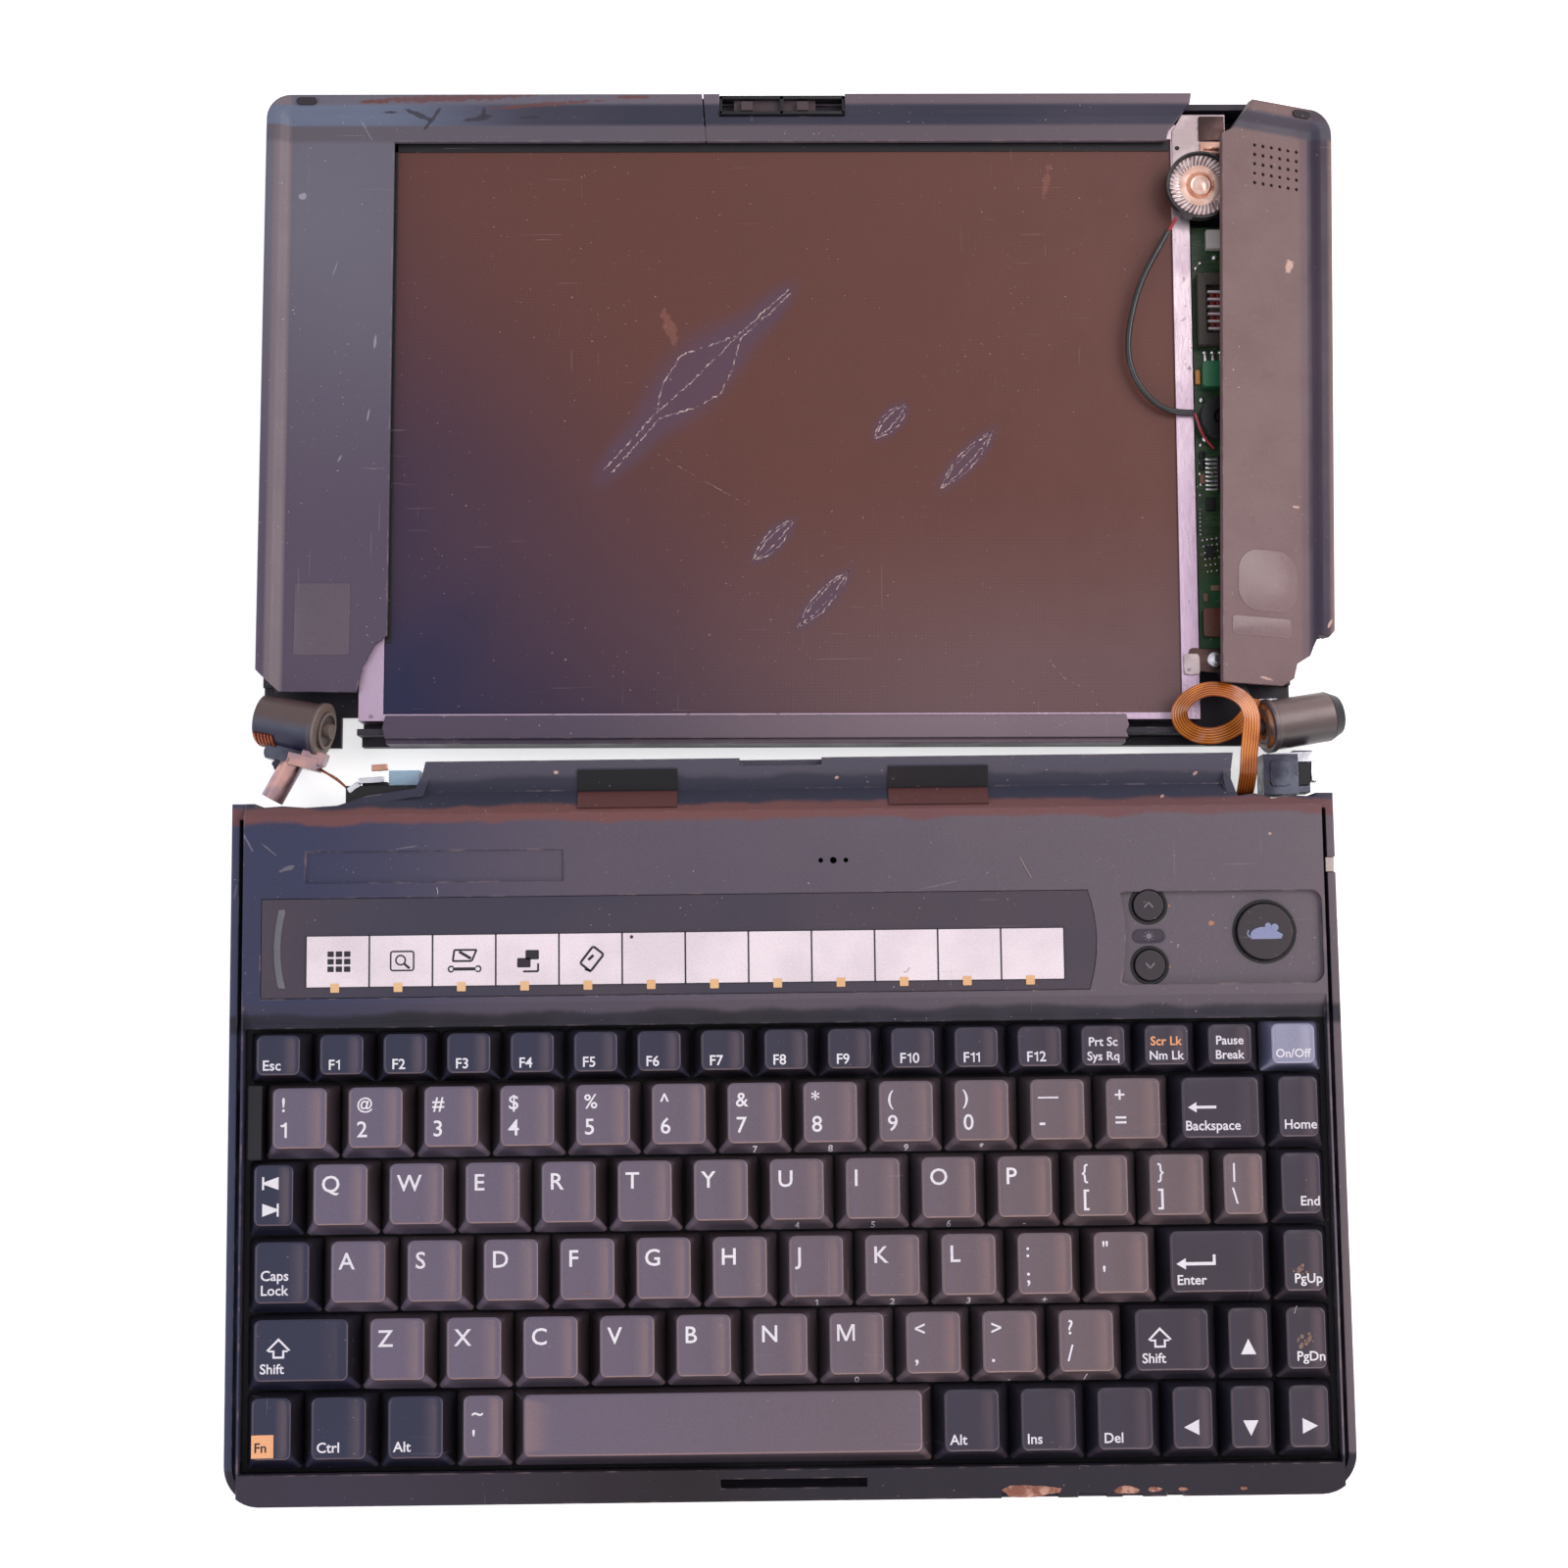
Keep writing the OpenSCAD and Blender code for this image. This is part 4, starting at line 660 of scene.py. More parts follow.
def make_floor():
    shape = bmesh.new()
    flat(shape, [(-3, -3), (3, -3), (3, 3), (-3, 3)], 0)
    mesh = bpy.data.meshes.new("floor")
    shape.to_mesh(mesh)
    shape.free()
    look = Look("floor_paint", (0.9, 0.9, 0.9, 1), 0.8)
    look.paint(look.ramp(look.noise(4, 3), 0.3, 0.7), (0.93, 0.93, 0.94, 1))
    look.shader.inputs["Emission Color"].default_value = (1, 1, 1, 1)
    glow = look.math("MULTIPLY", pale_rays(look.tree), FLOOR_GLOW)
    look.feed(look.shader.inputs["Emission Strength"], glow)
    mesh.materials.append(look.done())
    floor = bpy.data.objects.new("floor", mesh)
    bpy.context.scene.collection.objects.link(floor)


make_camera()


# ---- Speaker cord ----

def tube(name, points, radius, matrix, material):
    """A round wire along points, as a curve piece."""
    curve = bpy.data.curves.new(name, "CURVE")
    curve.dimensions = "3D"
    curve.resolution_u = 3
    curve.bevel_depth = radius * MM
    curve.bevel_resolution = 3
    curve.use_fill_caps = True
    line = curve.splines.new("NURBS")
    line.points.add(len(points) - 1)
    line.order_u = 3
    line.use_endpoint_u = True
    for point, place in zip(line.points, points):
        point.co = (*(matrix @ Vector(place)), 1)
    curve.materials.append(material)
    piece = bpy.data.objects.new(name, curve)
    bpy.context.scene.collection.objects.link(piece)
    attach(piece, CHASSIS)
    return piece


SLEEVE_ROUTE = [
    (105.2, 137.6, 12.8), (103.6, 134.7, 12.9), (101, 130.2, 12.9), (98.6, 125.6, 12.8), (96.6, 120.5, 12.6),
    (95, 114.4, 12.5), (94, 108.4, 12.4), (94.1, 102.6, 12.3), (95.7, 97.6, 12.2), (98.2, 93.6, 12.1),
    (101.2, 90.6, 12), (104.4, 88.9, 11.9), (107.9, 88.3, 11.7), (111.2, 88.3, 11.6)]
RED_WIRE = [
    (111.5, 88.2, 11.6), (112.3, 86.4, 11.5), (112.9, 84.2, 11.3), (114, 82, 10.9), (115.4, 80.4, 10.4),
    (116.4, 79.6, 9.9), (116.9, 79.2, 9.5)]
RED_END = [(105.4, 137.9, 12.8), (106.3, 139.3, 13), (107, 140.5, 13.2), (107.5, 141.3, 13.4)]


def make_cord():
    """The speaker's wire: a black sleeve, with short red wires at both ends."""
    vinyl = two_tone("sleeve_vinyl", rgb(34, 32, 36), rgb(52, 48, 52), 0.34, (300, 3, 0.5, 0.7), (1600, 0.5))
    red = two_tone("red_insulation", rgb(150, 40, 48), rgb(176, 62, 66), 0.36, (500, 2, 0.45, 0.7),
                   (1200, 0.4))
    sleeve = tube("speaker_cord_sleeve", SLEEVE_ROUTE, 0.8, LID, vinyl)
    far = tube("red_wire_to_board", RED_WIRE, 0.42, LID, red)
    near = tube("red_wire_to_speaker", RED_END, 0.5, LID, red)
    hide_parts("wire_sleeve")
    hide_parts("wire_ends")


make_cord()


# ---- Key caps ----

class Cap:
    """One key cap: its outline, its top and the height of its dished top."""

    def __init__(self, low, high, dish=0.4):
        self.x0, self.y0, self.z0 = low
        self.x1, self.y1, self.z1 = high
        self.z1 -= 0.07
        width = self.x1 - self.x0
        short = self.y1 - self.y0 < 14
        self.side = min(2.5, 0.15 * width)
        self.front = 2.1 if short else 2.8
        self.top = (self.x0 + self.side, self.y0 + self.front, self.x1 - self.side, self.y1 - 0.7)
        self.dish = dish

    def height(self, x, y):
        """The dished top is lowest along its middle; a long bar is crowned instead."""
        if self.dish < 0:
            share = (y - (self.top[1] + self.top[3]) / 2) / (self.top[3] - self.top[1]) * 2
            return self.z1 + self.dish * share * share
        share = (x - (self.top[0] + self.top[2]) / 2) / (self.top[2] - self.top[0]) * 2
        return self.z1 - self.dish * max(0, 1 - share * share)

    def build(self, shape, index=0):
        skirt = self.z1 - 5.5
        base = rounded(self.x0, self.y0, self.x1, self.y1, 1.1, sides=8)
        rings = [[(x, y, skirt) for x, y in base], [(x, y, skirt + 0.7) for x, y in base]]
        for out, drop in ((0.0, 0.62), (0.12, 0.3), (0.42, 0.08), (0.8, 0.0)):
            ring = rounded(self.top[0] + out - 0.12, self.top[1] + out - 0.12, self.top[2] - out + 0.12,
                           self.top[3] - out + 0.12, 1.7 - out / 2, sides=8)
            rings.append([(x, y, self.height(x, y) - drop) for x, y in ring])
        middle_x = (self.top[0] + self.top[2]) / 2
        middle_y = (self.top[1] + self.top[3]) / 2
        last = [(x, y) for x, y, _ in rings[-1]]
        for share in (0.8, 0.55, 0.3, 0.08):
            ring = [(middle_x + (x - middle_x) * share, middle_y + (y - middle_y) * share) for x, y in last]
            rings.append([(x, y, self.height(x, y)) for x, y in ring])
        loft(shape, rings, index=index)


GLYPHS = {}
DRAWN = {
    "1": [(0, 0.5), (0.1, 0.47), (0.18, 0.5), (0.18, 0), (0.28, 0), (0.28, 0.68), (0.2, 0.68), (0.14, 0.6),
          (0, 0.57)],
    "M": [(0, 0), (0, 0.7), (0.14, 0.7), (0.38, 0.17), (0.62, 0.7), (0.76, 0.7), (0.76, 0), (0.66, 0),
          (0.66, 0.54),
          (0.43, 0), (0.33, 0), (0.1, 0.54), (0.1, 0)],
}


def font_mesh(text, size, bold):
    curve = bpy.data.curves.new("text", "FONT")
    curve.body = text
    curve.size = size
    curve.resolution_u = 3
    curve.offset = bold
    holder = bpy.data.objects.new("text", curve)
    bpy.context.scene.collection.objects.link(holder)
    bpy.context.view_layer.update()
    mesh = bpy.data.meshes.new_from_object(holder.evaluated_get(bpy.context.evaluated_depsgraph_get()))
    points = [(vert.co.x, vert.co.y) for vert in mesh.vertices]
    faces = [tuple(face.vertices) for face in mesh.polygons]
    bpy.data.objects.remove(holder)
    bpy.data.curves.remove(curve)
    bpy.data.meshes.remove(mesh)
    return points, faces


def glyph(text, size, bold=0.0):
    """A line of text as a flat mesh from its lower left corner at the origin. 1 and M are drawn."""
    key = (text, size, bold)
    if key in GLYPHS:
        return GLYPHS[key]
    points, faces = [], []
    start = 0
    for part in text.replace("1", "\n1\n").split("\n"):
        if not part:
            continue
        if part in DRAWN:
            more, made = [(x * size, y * size) for x, y in DRAWN[part]], [tuple(range(len(DRAWN[part])))]
        else:
            more, made = font_mesh(part, size, bold)
        faces += [tuple(i + len(points) for i in face) for face in made]
        points += [(x + start, y) for x, y in more]
        start = max(x for x, _ in points) + 0.09 * size
    GLYPHS[key] = (points, faces)
    return GLYPHS[key]


def write(shape, text, size, place, lift, bold=0.05, align="left", index=0):
    """Writes text flat at place, with lift giving each point's height."""
    points, faces = glyph(text, size, bold)
    width = max((x for x, _ in points), default=0)
    start = {"left": 0, "centre": -width / 2, "right": -width}[align]
    made = []
    for x, y in points:
        px = place[0] + x + start
        py = place[1] + y
        made.append(shape.verts.new((px, py, lift(px, py))))
    for face in faces:
        shape.faces.new([made[i] for i in face]).material_index = index


def draw(shape, points, place, lift, index=0):
    """Draws a filled polygon flat at place, with lift giving each point's height."""
    made = []
    for x, y in points:
        px = place[0] + x
        py = place[1] + y
        made.append(shape.verts.new((px, py, lift(px, py))))
    face_up(shape, made, index)


SIGNS = {
    "up": [[(-1.9, -1.5), (1.9, -1.5), (0, 2.3)]],
    "down": [[(-1.9, 1.5), (1.9, 1.5), (0, -2.3)]],
    "left": [[(1.6, -1.9), (1.6, 1.9), (-2.2, 0)]],
    "right": [[(-1.6, -1.9), (-1.6, 1.9), (2.2, 0)]],
    "back": [[(-3.8, 0), (-1.6, 1.3), (-1.6, 0.35), (3.4, 0.35), (3.4, -0.35), (-1.6, -0.35), (-1.6, -1.3)]],
    "return": [[(-4.6, -0.6), (-2.2, 0.8), (-2.2, -0.2), (4.6, -0.2), (4.6, 1.6), (5.3, 1.6), (5.3, -1),
                (-2.2, -1), (-2.2, -2)]],
    "tab": [[(-2.2, 3.3), (-2.2, 6.5), (-1.7, 6.5), (-1.7, 5.2), (1.9, 6.5), (1.9, 3.3), (-1.7, 4.6),
             (-1.7, 3.3)],
            [(2.0, -3.3), (2.0, -0.1), (1.5, -0.1), (1.5, -1.4), (-2.1, -0.1), (-2.1, -3.3), (1.5, -2),
             (1.5, -3.3)]],
    "shift": [[(0, 3), (-3, 0), (-2.3, 0), (0, 2.25), (2.3, 0), (3, 0)],
              [(-3, 0), (-1.45, 0), (-1.45, -0.45), (-2.3, -0.45), (-2.3, 0), (-2.2, 0.1), (-2.9, 0.1)],
              [(3, 0), (1.45, 0), (1.45, -0.45), (2.3, -0.45), (2.3, 0), (2.2, 0.1), (2.9, 0.1)],
              [(-1.45, 0), (-0.95, 0), (-0.95, -1.5), (0.95, -1.5), (0.95, 0), (1.45, 0), (1.45, -2),
               (-1.45, -2)]],
}

# Each key's legend, in the order of its row: lines part at |, a sign's name follows #.
LEGENDS = {
    "function_row_keys": "Esc F1 F2 F3 F4 F5 F6 F7 F8 F9 F10 F11 F12 "
                         "Prt_Sc|Sys_Rq Scr_Lk|Nm_Lk Pause|Break On/Off",
    "number_row_keys": "!|1 @|2 #|3 $|4 %|5 ^|6 &|7 *|8 (|9 )|0 —|- +|=",
    "backspace_key": "#back|Backspace",
    "paging_keys": "Home End PgUp PgDn",
    "tab_key": "#tab",
    "top_letter_keys": "Q W E R T Y U I O P {|[ }|] ||\\",
    "caps_lock_key": "Caps|Lock",
    "home_letter_keys": "A S D F G H J K L :|; \"|'",
    "enter_key": "#return|Enter",
    "left_shift_key": "#shift|Shift",
    "bottom_letter_keys": "Z X C V B N M <|, >|. ?|/",
    "right_shift_key": "#shift|Shift",
    "arrow_keys": "#up #left #down #right",
    "modifier_keys": "Fn Ctrl Alt ~|' Alt Ins Del",
    "space_bar": "",
}
FRONT_LEGENDS = {
    "number_row_keys": {6: "7", 7: "8", 8: "9", 9: "*"},
    "top_letter_keys": {6: "4", 7: "5", 8: "6", 9: "-"},
    "home_letter_keys": {6: "1", 7: "2", 8: "3", 9: "+"},
    "bottom_letter_keys": {6: "0", 8: ".", 9: "/"},
}
LETTER_GROUPS = ("number_row_keys", "top_letter_keys", "home_letter_keys", "bottom_letter_keys", "space_bar")


def split_legend(text):
    """A key's lines of text."""
    if text == "||\\":
        return ["|", "\\"]
    return [part.replace("_", " ") for part in text.split("|")]


def centred_lines(shape, cap, parts, lift, size, low, pitch, first_index=0):
    middle = (cap.top[0] + cap.top[2]) / 2
    for row, text in enumerate(parts):
        place = (middle, cap.top[1] + low + pitch * (len(parts) - 1 - row))
        write(shape, text, size, place, lift, align="centre", index=first_index if row == 0 else 0)


def key_legend(shape, cap, group, number, parts):
    """Writes a key's legend on its cap, by the layout of its group."""
    x0, y0, x1, _ = cap.top

    def lift(x, y):
        return cap.height(x, y) + 0.03
    if group == "function_row_keys":
        if len(parts) == 2:
            centred_lines(shape, cap, parts, lift, 3.1, 1.3, 3.6, first_index=1 if number == 14 else 0)
        elif number == 16:
            centred_lines(shape, cap, parts, lift, 3.0, 1.5, 0)
        else:
            write(shape, parts[0], 3.6, (x0 + (2.0 if number else 1.4), y0 + 1.2), lift)
    elif group in ("backspace_key", "enter_key", "left_shift_key", "right_shift_key"):
        left = x0 + (1.5 if group != "backspace_key" else 0.7)
        write(shape, parts[1], 3.4, (left, y0 + 1.9), lift)
        for outline in SIGNS[parts[0][1:]]:
            draw(shape, outline, (left + 4.6, y0 + 7.6), lift)
    elif parts[0].startswith("#") and len(parts[0]) > 2:
        place = (x0 + 4.2, y0 + 5.6) if group == "tab_key" else ((x0 + x1) / 2, y0 + 5.2)
        for outline in SIGNS[parts[0][1:]]:
            draw(shape, outline, place, lift)
    elif group == "caps_lock_key":
        write(shape, parts[0], 3.5, (x0 + 1.4, y0 + 5.6), lift)
        write(shape, parts[1], 3.5, (x0 + 1.4, y0 + 2.0), lift)
    elif group == "paging_keys":
        write(shape, parts[0], 3.3, (x1 - 0.3, y0 + 2.0), lift, align="right")
    elif parts[0] == "Fn":
        write(shape, parts[0], 3.3, (x0 + 0.7, y0 + 1.9), lambda x, y: lift(x, y) + 0.03, index=2)
        for strip in range(9):
            draw(shape, [(0, 0), (0.6, 0), (0.6, 5.6), (0, 5.6)], (x0 + 0.1 + 0.6 * strip, y0 + 0.5), lift,
                 index=1)
    elif group == "modifier_keys" and len(parts) == 1:
        write(shape, parts[0], 3.5, (x0 + 1.3, y0 + 1.7), lift)
    elif len(parts) == 2:
        small = parts[0] == "@"
        write(shape, parts[0], 4.0 if small else 5.0, (x0 + 2.0, y0 + (9.6 if small else 9.2)), lift)
        write(shape, parts[1], 5.6, (x0 + 2.0, y0 + 2.7), lift)
    else:
        write(shape, parts[0], 5.8, (x0 + 1.9, y0 + 8.2), lift, bold=0.06)
    if parts[0] in ("F", "J"):
        middle = (x0 + x1) / 2
        draw(shape, [(-1.4, 0), (1.4, 0), (1.4, 0.3), (-1.4, 0.3)], (middle, y0 + 1.4), lift, index=3)


def front_legend(shape, cap, text):
    """A small legend on a cap's front slope."""
    points, faces = glyph(text, 2.5, 0.05)
    width = max(x for x, _ in points)
    slope = math.atan2(4.2, cap.front - 0.1)
    made = []
    for x, y in points:
        along = 0.5 + 1.9 * y
        made.append(shape.verts.new((
            (cap.x0 + cap.x1) / 2 + x - width / 2,
            cap.y0 + along * math.cos(slope) - 0.03,
            cap.z1 - 4.8 + along * math.sin(slope) + 0.02)))
    for face in faces:
        shape.faces.new([made[i] for i in face])


def make_keys(group):
    """A group's caps, which replace its CAD keys, and their legends."""
    caps = [Cap(low, high, -0.35 if group == "space_bar" else 0.42) for low, high in islands(group)]
    shape = bmesh.new()
    for number, cap in enumerate(caps):
        power = group == "function_row_keys" and number == 16
        character = group in LETTER_GROUPS or (group == "modifier_keys" and number == 3)
        cap.build(shape, index=1 if power or (character and group == "modifier_keys") else 0)
    first = LETTER_CAP if group in LETTER_GROUPS else MODIFIER_CAP
    second = POWER_CAP if group == "function_row_keys" else LETTER_CAP
    add(group + "_caps", shape, BASE, group + "_body", [first, second], replaces=(group,))
    texts = LEGENDS[group].split()
    if not texts:
        return
    ink = bmesh.new()
    for number, (cap, text) in enumerate(zip(caps, texts)):
        key_legend(ink, cap, group, number, split_legend(text))
        if number in FRONT_LEGENDS.get(group, {}):
            front_legend(ink, cap, FRONT_LEGENDS[group][number])
    add(group + "_legends", ink, BASE, group + "_body", [LEGEND, ORANGE_INK, INK, CAP_BAR])


for group_name in LEGENDS:
    make_keys(group_name)

make_world()
make_floor()
lamp("key_light", (0.75, 0.35, 0.75), (0, 0, 0), (0.7, 0.7), 7.0, (1.0, 0.93, 0.9))
lamp("front_light", (0.35, -0.8, 0.35), (0, 0, 0), (0.8, 0.4), 3.2, (1.0, 0.86, 0.8))
lamp("left_light", (-0.8, -0.1, 0.5), (0, 0, 0), (0.6, 0.8), 2.4, (0.82, 0.88, 1.0))

# ---- Screen ----

SCREEN_TOP = 10
SCREEN_BUBBLES = [(30.6, 86.6, 6.2, 2.3, 48), (50.8, 76, 10.5, 2.2, 48), (-0.9, 54.2, 7.6, 2.2, 47),
                  (12.4, 38.5, 10, 2.2, 48)]
BIG_BUBBLE = [
    [(-46.3, 73.3), (-39, 81), (-32.1, 88.9), (-30.4, 97), (-25.3, 104.9), (-17, 107.6), (-10.1, 110.3),
     (3.5, 122.9)],
    [(-44, 72.6), (-31.1, 87.5), (-21.5, 90.4), (-14.8, 94.2), (-11.6, 101), (-9.4, 109.2), (4, 121.6)],
    [(-32.1, 88.9), (-22, 98), (-10.1, 110.3)]]

BIG_BUBBLE_HALO = [(-21, 98.5, 30, 6.2, 45), (-22, 99, 17, 9, 47), (-40, 78.5, 12, 4, 47),
                   (-2, 116.5, 10, 3.4, 47)]


def screen_tones(look):
    """A dark panel with a painted reflection, brown at its far right and navy at its near left, and bubbles
    under its film.
    """
    spot = look.mapped(LID)
    u = look.along("X", spot)
    v = look.along("Y", spot)
    # Painted reflection: navy at the near left turning to brown at the far right.
    slant = look.math("ADD", u, look.math("MULTIPLY", v, 1.0))
    look.colour = look.mix(look.ramp(slant, -96, 84), rgb(28, 37, 76), rgb(104, 64, 57))
    look.paint(look.ramp(slant, 90, 240, 0, 0.5), rgb(112, 74, 68))
    near = look.math("MULTIPLY", look.ramp(v, 75, 5, 0, 0.75), look.ramp(u, -70, 60))
    look.paint(near, rgb(124, 100, 104))
    for axis in (u, v):
        line = look.math("SINE", look.math("MULTIPLY", axis, 2 * math.pi / 0.9))
        look.paint(look.ramp(line, 0.2, 1.0, 0, 0.08), rgb(30, 22, 24))
    halo = rgb(88, 74, 100)
    for x, y, long, short, turn in SCREEN_BUBBLES:
        look.paint(look.spot(LID, (x, y, long, short * 1.35, turn), 0.4), halo, 0.6)
    for mark in BIG_BUBBLE_HALO:
        look.paint(look.spot(LID, mark, 0.4), halo, 0.42)
    chips(look, LID, [(-28.6, 112.6, 5, 1.3, 112), (73, 152, 5, 0.8, 80)], rgb(150, 100, 88), 0.5, 0.4)
    sand = look.ramp(look.noise(1100, 1), 0.76, 0.79, 0, 0.8)
    look.paint(sand, rgb(186, 160, 160), look.ramp(look.noise(22, 3), 0.42, 0.56))
    look.raise_by(look.noise(90, 3), 0.4)


def streak(shape, points, width, z, seed, broken):
    """A flat irregular line along points, laid at height z."""
    dice = random.Random(seed)
    line = []
    for start, end in zip(points, points[1:]):
        steps = max(2, int(math.dist(start, end) / 0.7))
        for step in range(steps):
            share = step / steps
            line.append([a + (b - a) * share + dice.uniform(-0.9, 0.9) * width for a, b in zip(start, end)])
    line.append(list(points[-1]))
    for start, end in zip(line, line[1:]):
        if dice.random() < broken:
            continue
        long = math.dist(start, end) or 1
        side = [(start[1] - end[1]) / long, (end[0] - start[0]) / long]
        first, last = (width * dice.uniform(0.1, 0.8) for _ in range(2))
        corners = [(start, -first), (end, -last), (end, last), (start, first)]
        quad = [shape.verts.new((at[0] + side[0] * out, at[1] + side[1] * out, z)) for at, out in corners]
        face_up(shape, quad[::-1], 0)


def lens(x, y, long, short, turn, side, steps=8):
    """One curved side of a pointed oval, from tip to tip."""
    points = []
    for step in range(steps + 1):
        along = 2 * step / steps - 1
        across = side * short * (1 - along * along)
        angle = math.radians(turn)
        points.append((x + along * long * math.cos(angle) - across * math.sin(angle),
                       y + along * long * math.sin(angle) + across * math.cos(angle)))
    return points


def make_screen_marks():
    shape = bmesh.new()
    height = SCREEN_TOP + 0.03
    for seed, line in enumerate(BIG_BUBBLE):
        streak(shape, line, 0.3, height, seed, broken=0.1)
    for seed, bubble in enumerate(SCREEN_BUBBLES):
        for side in (-1, -0.45, 0.6, 1):
            streak(shape, lens(*bubble, side), 0.24, height, 10 * seed + int(side * 4), broken=0.2)
    streak(shape, [(-32, 78), (-22, 72), (-8, 64)], 0.07, height, 77, broken=0.3)
    streak(shape, [(72, 22), (76, 17), (80, 15)], 0.1, height, 78, broken=0.3)
    ridge = two_tone("bubble_ridge", rgb(196, 172, 168), rgb(122, 98, 112), 0.3, (700, 2, 0.4, 0.6),
                     (1500, 0.5))
    add("screen_bubble_ridges", shape, LID, CHASSIS, ridge)


def make_screen_edge_shadow():
    """Black strips laid on the panel along the bezel's opening, as painted shadow of the bezel's edges."""
    u0, u1, v0, v1 = -103.4, 106.4, 7.0, 163.6
    shape = bmesh.new()
    # Painted shadow along the far, left and near edges of the opening.
    for x0, y0, x1, y1 in ((u0, v1 - 2.6, u1, v1), (u0, v0 + 20, u0 + 1.5, v1),
                           (u0, v0 - 0.4, 92, v0 + 0.9)):
        slab(shape, rounded(x0, y0, x1, y1, 0.2, 2), SCREEN_TOP + 0.01, SCREEN_TOP + 0.3)
    add("screen_edge_shadow", shape, LID, CHASSIS, BLACK)


SCREEN = plastic("screen_film", rgb(110, 74, 68), rgb(100, 66, 64), grain=0.1, rough=0.34, dust=0.5, bevel=0,
                 shine=0.25, extra=screen_tones)
make_screen_marks()
make_screen_edge_shadow()


# ---- Inverter board ----

BOARD_U = 112.1
BOARD_TOP = 9
BOARD_BLOBS = [(1.0, 128.6, 0.7), (2.2, 130, 0.6), (6.2, 131.6, 0.8), (1.8, 92.3, 0.9), (2.6, 81.8, 1.0),
               (1.2, 80, 0.6)]
BOARD_PARTS = [(0.9, 73.2, 1.5, 2.6, 0), (0.9, 69.6, 1.4, 2.4, 1), (0.8, 76.4, 1.6, 1.8, 0),
               (3.2, 40.6, 2.4, 1.4, 1), (1.2, 37.6, 1.2, 2.2, 1), (5.6, 53.2, 1.6, 3.0, 0)]


def board_tones(look):
    spot = look.mapped(LID)
    for turn in (0.0, math.pi / 2):
        trace = look.noise(260, 0, stretch=(1, 9, 1), turn=turn)
        look.paint(look.ramp(trace, 0.55, 0.6, 0, 0.45), rgb(64, 92, 44))
    look.paint(look.ramp(look.noise(600, 1), 0.7, 0.76, 0, 0.8), rgb(172, 168, 150))
    zone = look.ramp(look.along("Y", spot), 60, 48)
    look.paint(zone, rgb(62, 66, 26), 0.6)
    deep = look.ramp(look.along("Y", spot), 47, 42)
    look.paint(deep, rgb(34, 84, 50), 0.85)


BOARD = plastic("circuit_board", rgb(28, 56, 36), rgb(20, 40, 30), rough=0.36, dust=0.8, bevel=0, shine=0.4,
                extra=board_tones)
SOLDER = metal("solder", rgb(222, 216, 220), rgb(168, 162, 168), rough=0.24, spots=0.2, bevel=0)
COPPER = metal("copper", rgb(196, 118, 88), rgb(150, 84, 62), rough=0.3, bevel=0)
FIN = plastic("bobbin_plastic", rgb(226, 214, 216), rgb(196, 178, 182), rough=0.3, dust=0.2, bevel=0.1)
WINDING = plastic("red_winding", rgb(142, 42, 40), rgb(96, 26, 28), rough=0.4, dust=0.2, bevel=0)


def circle(x, y, z, r, sides):
    """A circle's points at height z."""
    angles = [2 * math.pi * i / sides for i in range(sides)]
    return [(x + r * math.cos(a), y + r * math.sin(a), z) for a in angles]


def dome(shape, x, y, z, r, h, index=0, sides=12):
    """A low round blob of solder, or a crumb."""
    profile = ((1, 0), (0.9, 0.45), (0.66, 0.78), (0.34, 0.96))
    loft(shape, [circle(x, y, z + h * rise, r * reach, sides) for reach, rise in profile], index=index)


def box(shape, x0, y0, z0, x1, y1, z1, edge=0.15, index=0):
    slab(shape, rounded(x0, y0, x1, y1, min(0.3, (x1 - x0) / 3, (y1 - y0) / 3), 2), z0, z1, edge, index)


def make_solder():
    """Solder dots, a chip's pins and a capacitor's legs on the inverter board."""
    shape = bmesh.new()
    dice = random.Random(5)
    for row in range(7):
        dome(shape, BOARD_U + 0.75, 55.8 + 1.12 * row, BOARD_TOP, 0.38, 0.45)
    for row in range(8):
        v = 67.7 + 1.17 * row
        box(shape, BOARD_U + 2.4, v, BOARD_TOP, BOARD_U + 5.5, v + 0.5, BOARD_TOP + 0.5, 0.05)
    for row in range(6):
        for column in range(4):
            u = BOARD_U + 1.2 + 1.25 * column + 0.25 * row + dice.uniform(-0.15, 0.15)
            dome(shape, u, 54.2 - 1.7 * row + 0.2 * column, BOARD_TOP, 0.36, 0.45)
    for row in range(4):
        dome(shape, BOARD_U + 0.9 + 0.2 * (row % 2), 66.4 + 2.9 * row, BOARD_TOP, 0.5, 0.5)
    for leg in (2.6, 4.7, 6.8):
        box(shape, BOARD_U + leg, 102.6, BOARD_TOP + 0.2, BOARD_U + leg + 0.7, 104.9, BOARD_TOP + 0.9, 0.1)
        dome(shape, BOARD_U + leg + 0.35, 105.4, BOARD_TOP, 0.75, 0.8)
    for x, y, r in BOARD_BLOBS:
        dome(shape, BOARD_U + x, y, BOARD_TOP, r, 0.7)
    add("board_solder", shape, LID, CHASSIS, SOLDER)


def make_small_parts():
    """Small black and tan parts on the inverter board."""
    shape = bmesh.new()
    for x, y, wide, deep, kind in BOARD_PARTS:
        box(shape, BOARD_U + x, y, BOARD_TOP, BOARD_U + x + wide, y + deep, BOARD_TOP + 0.6, 0.1, kind)
    add("board_small_parts", shape, LID, CHASSIS, [BLACK, TAN])


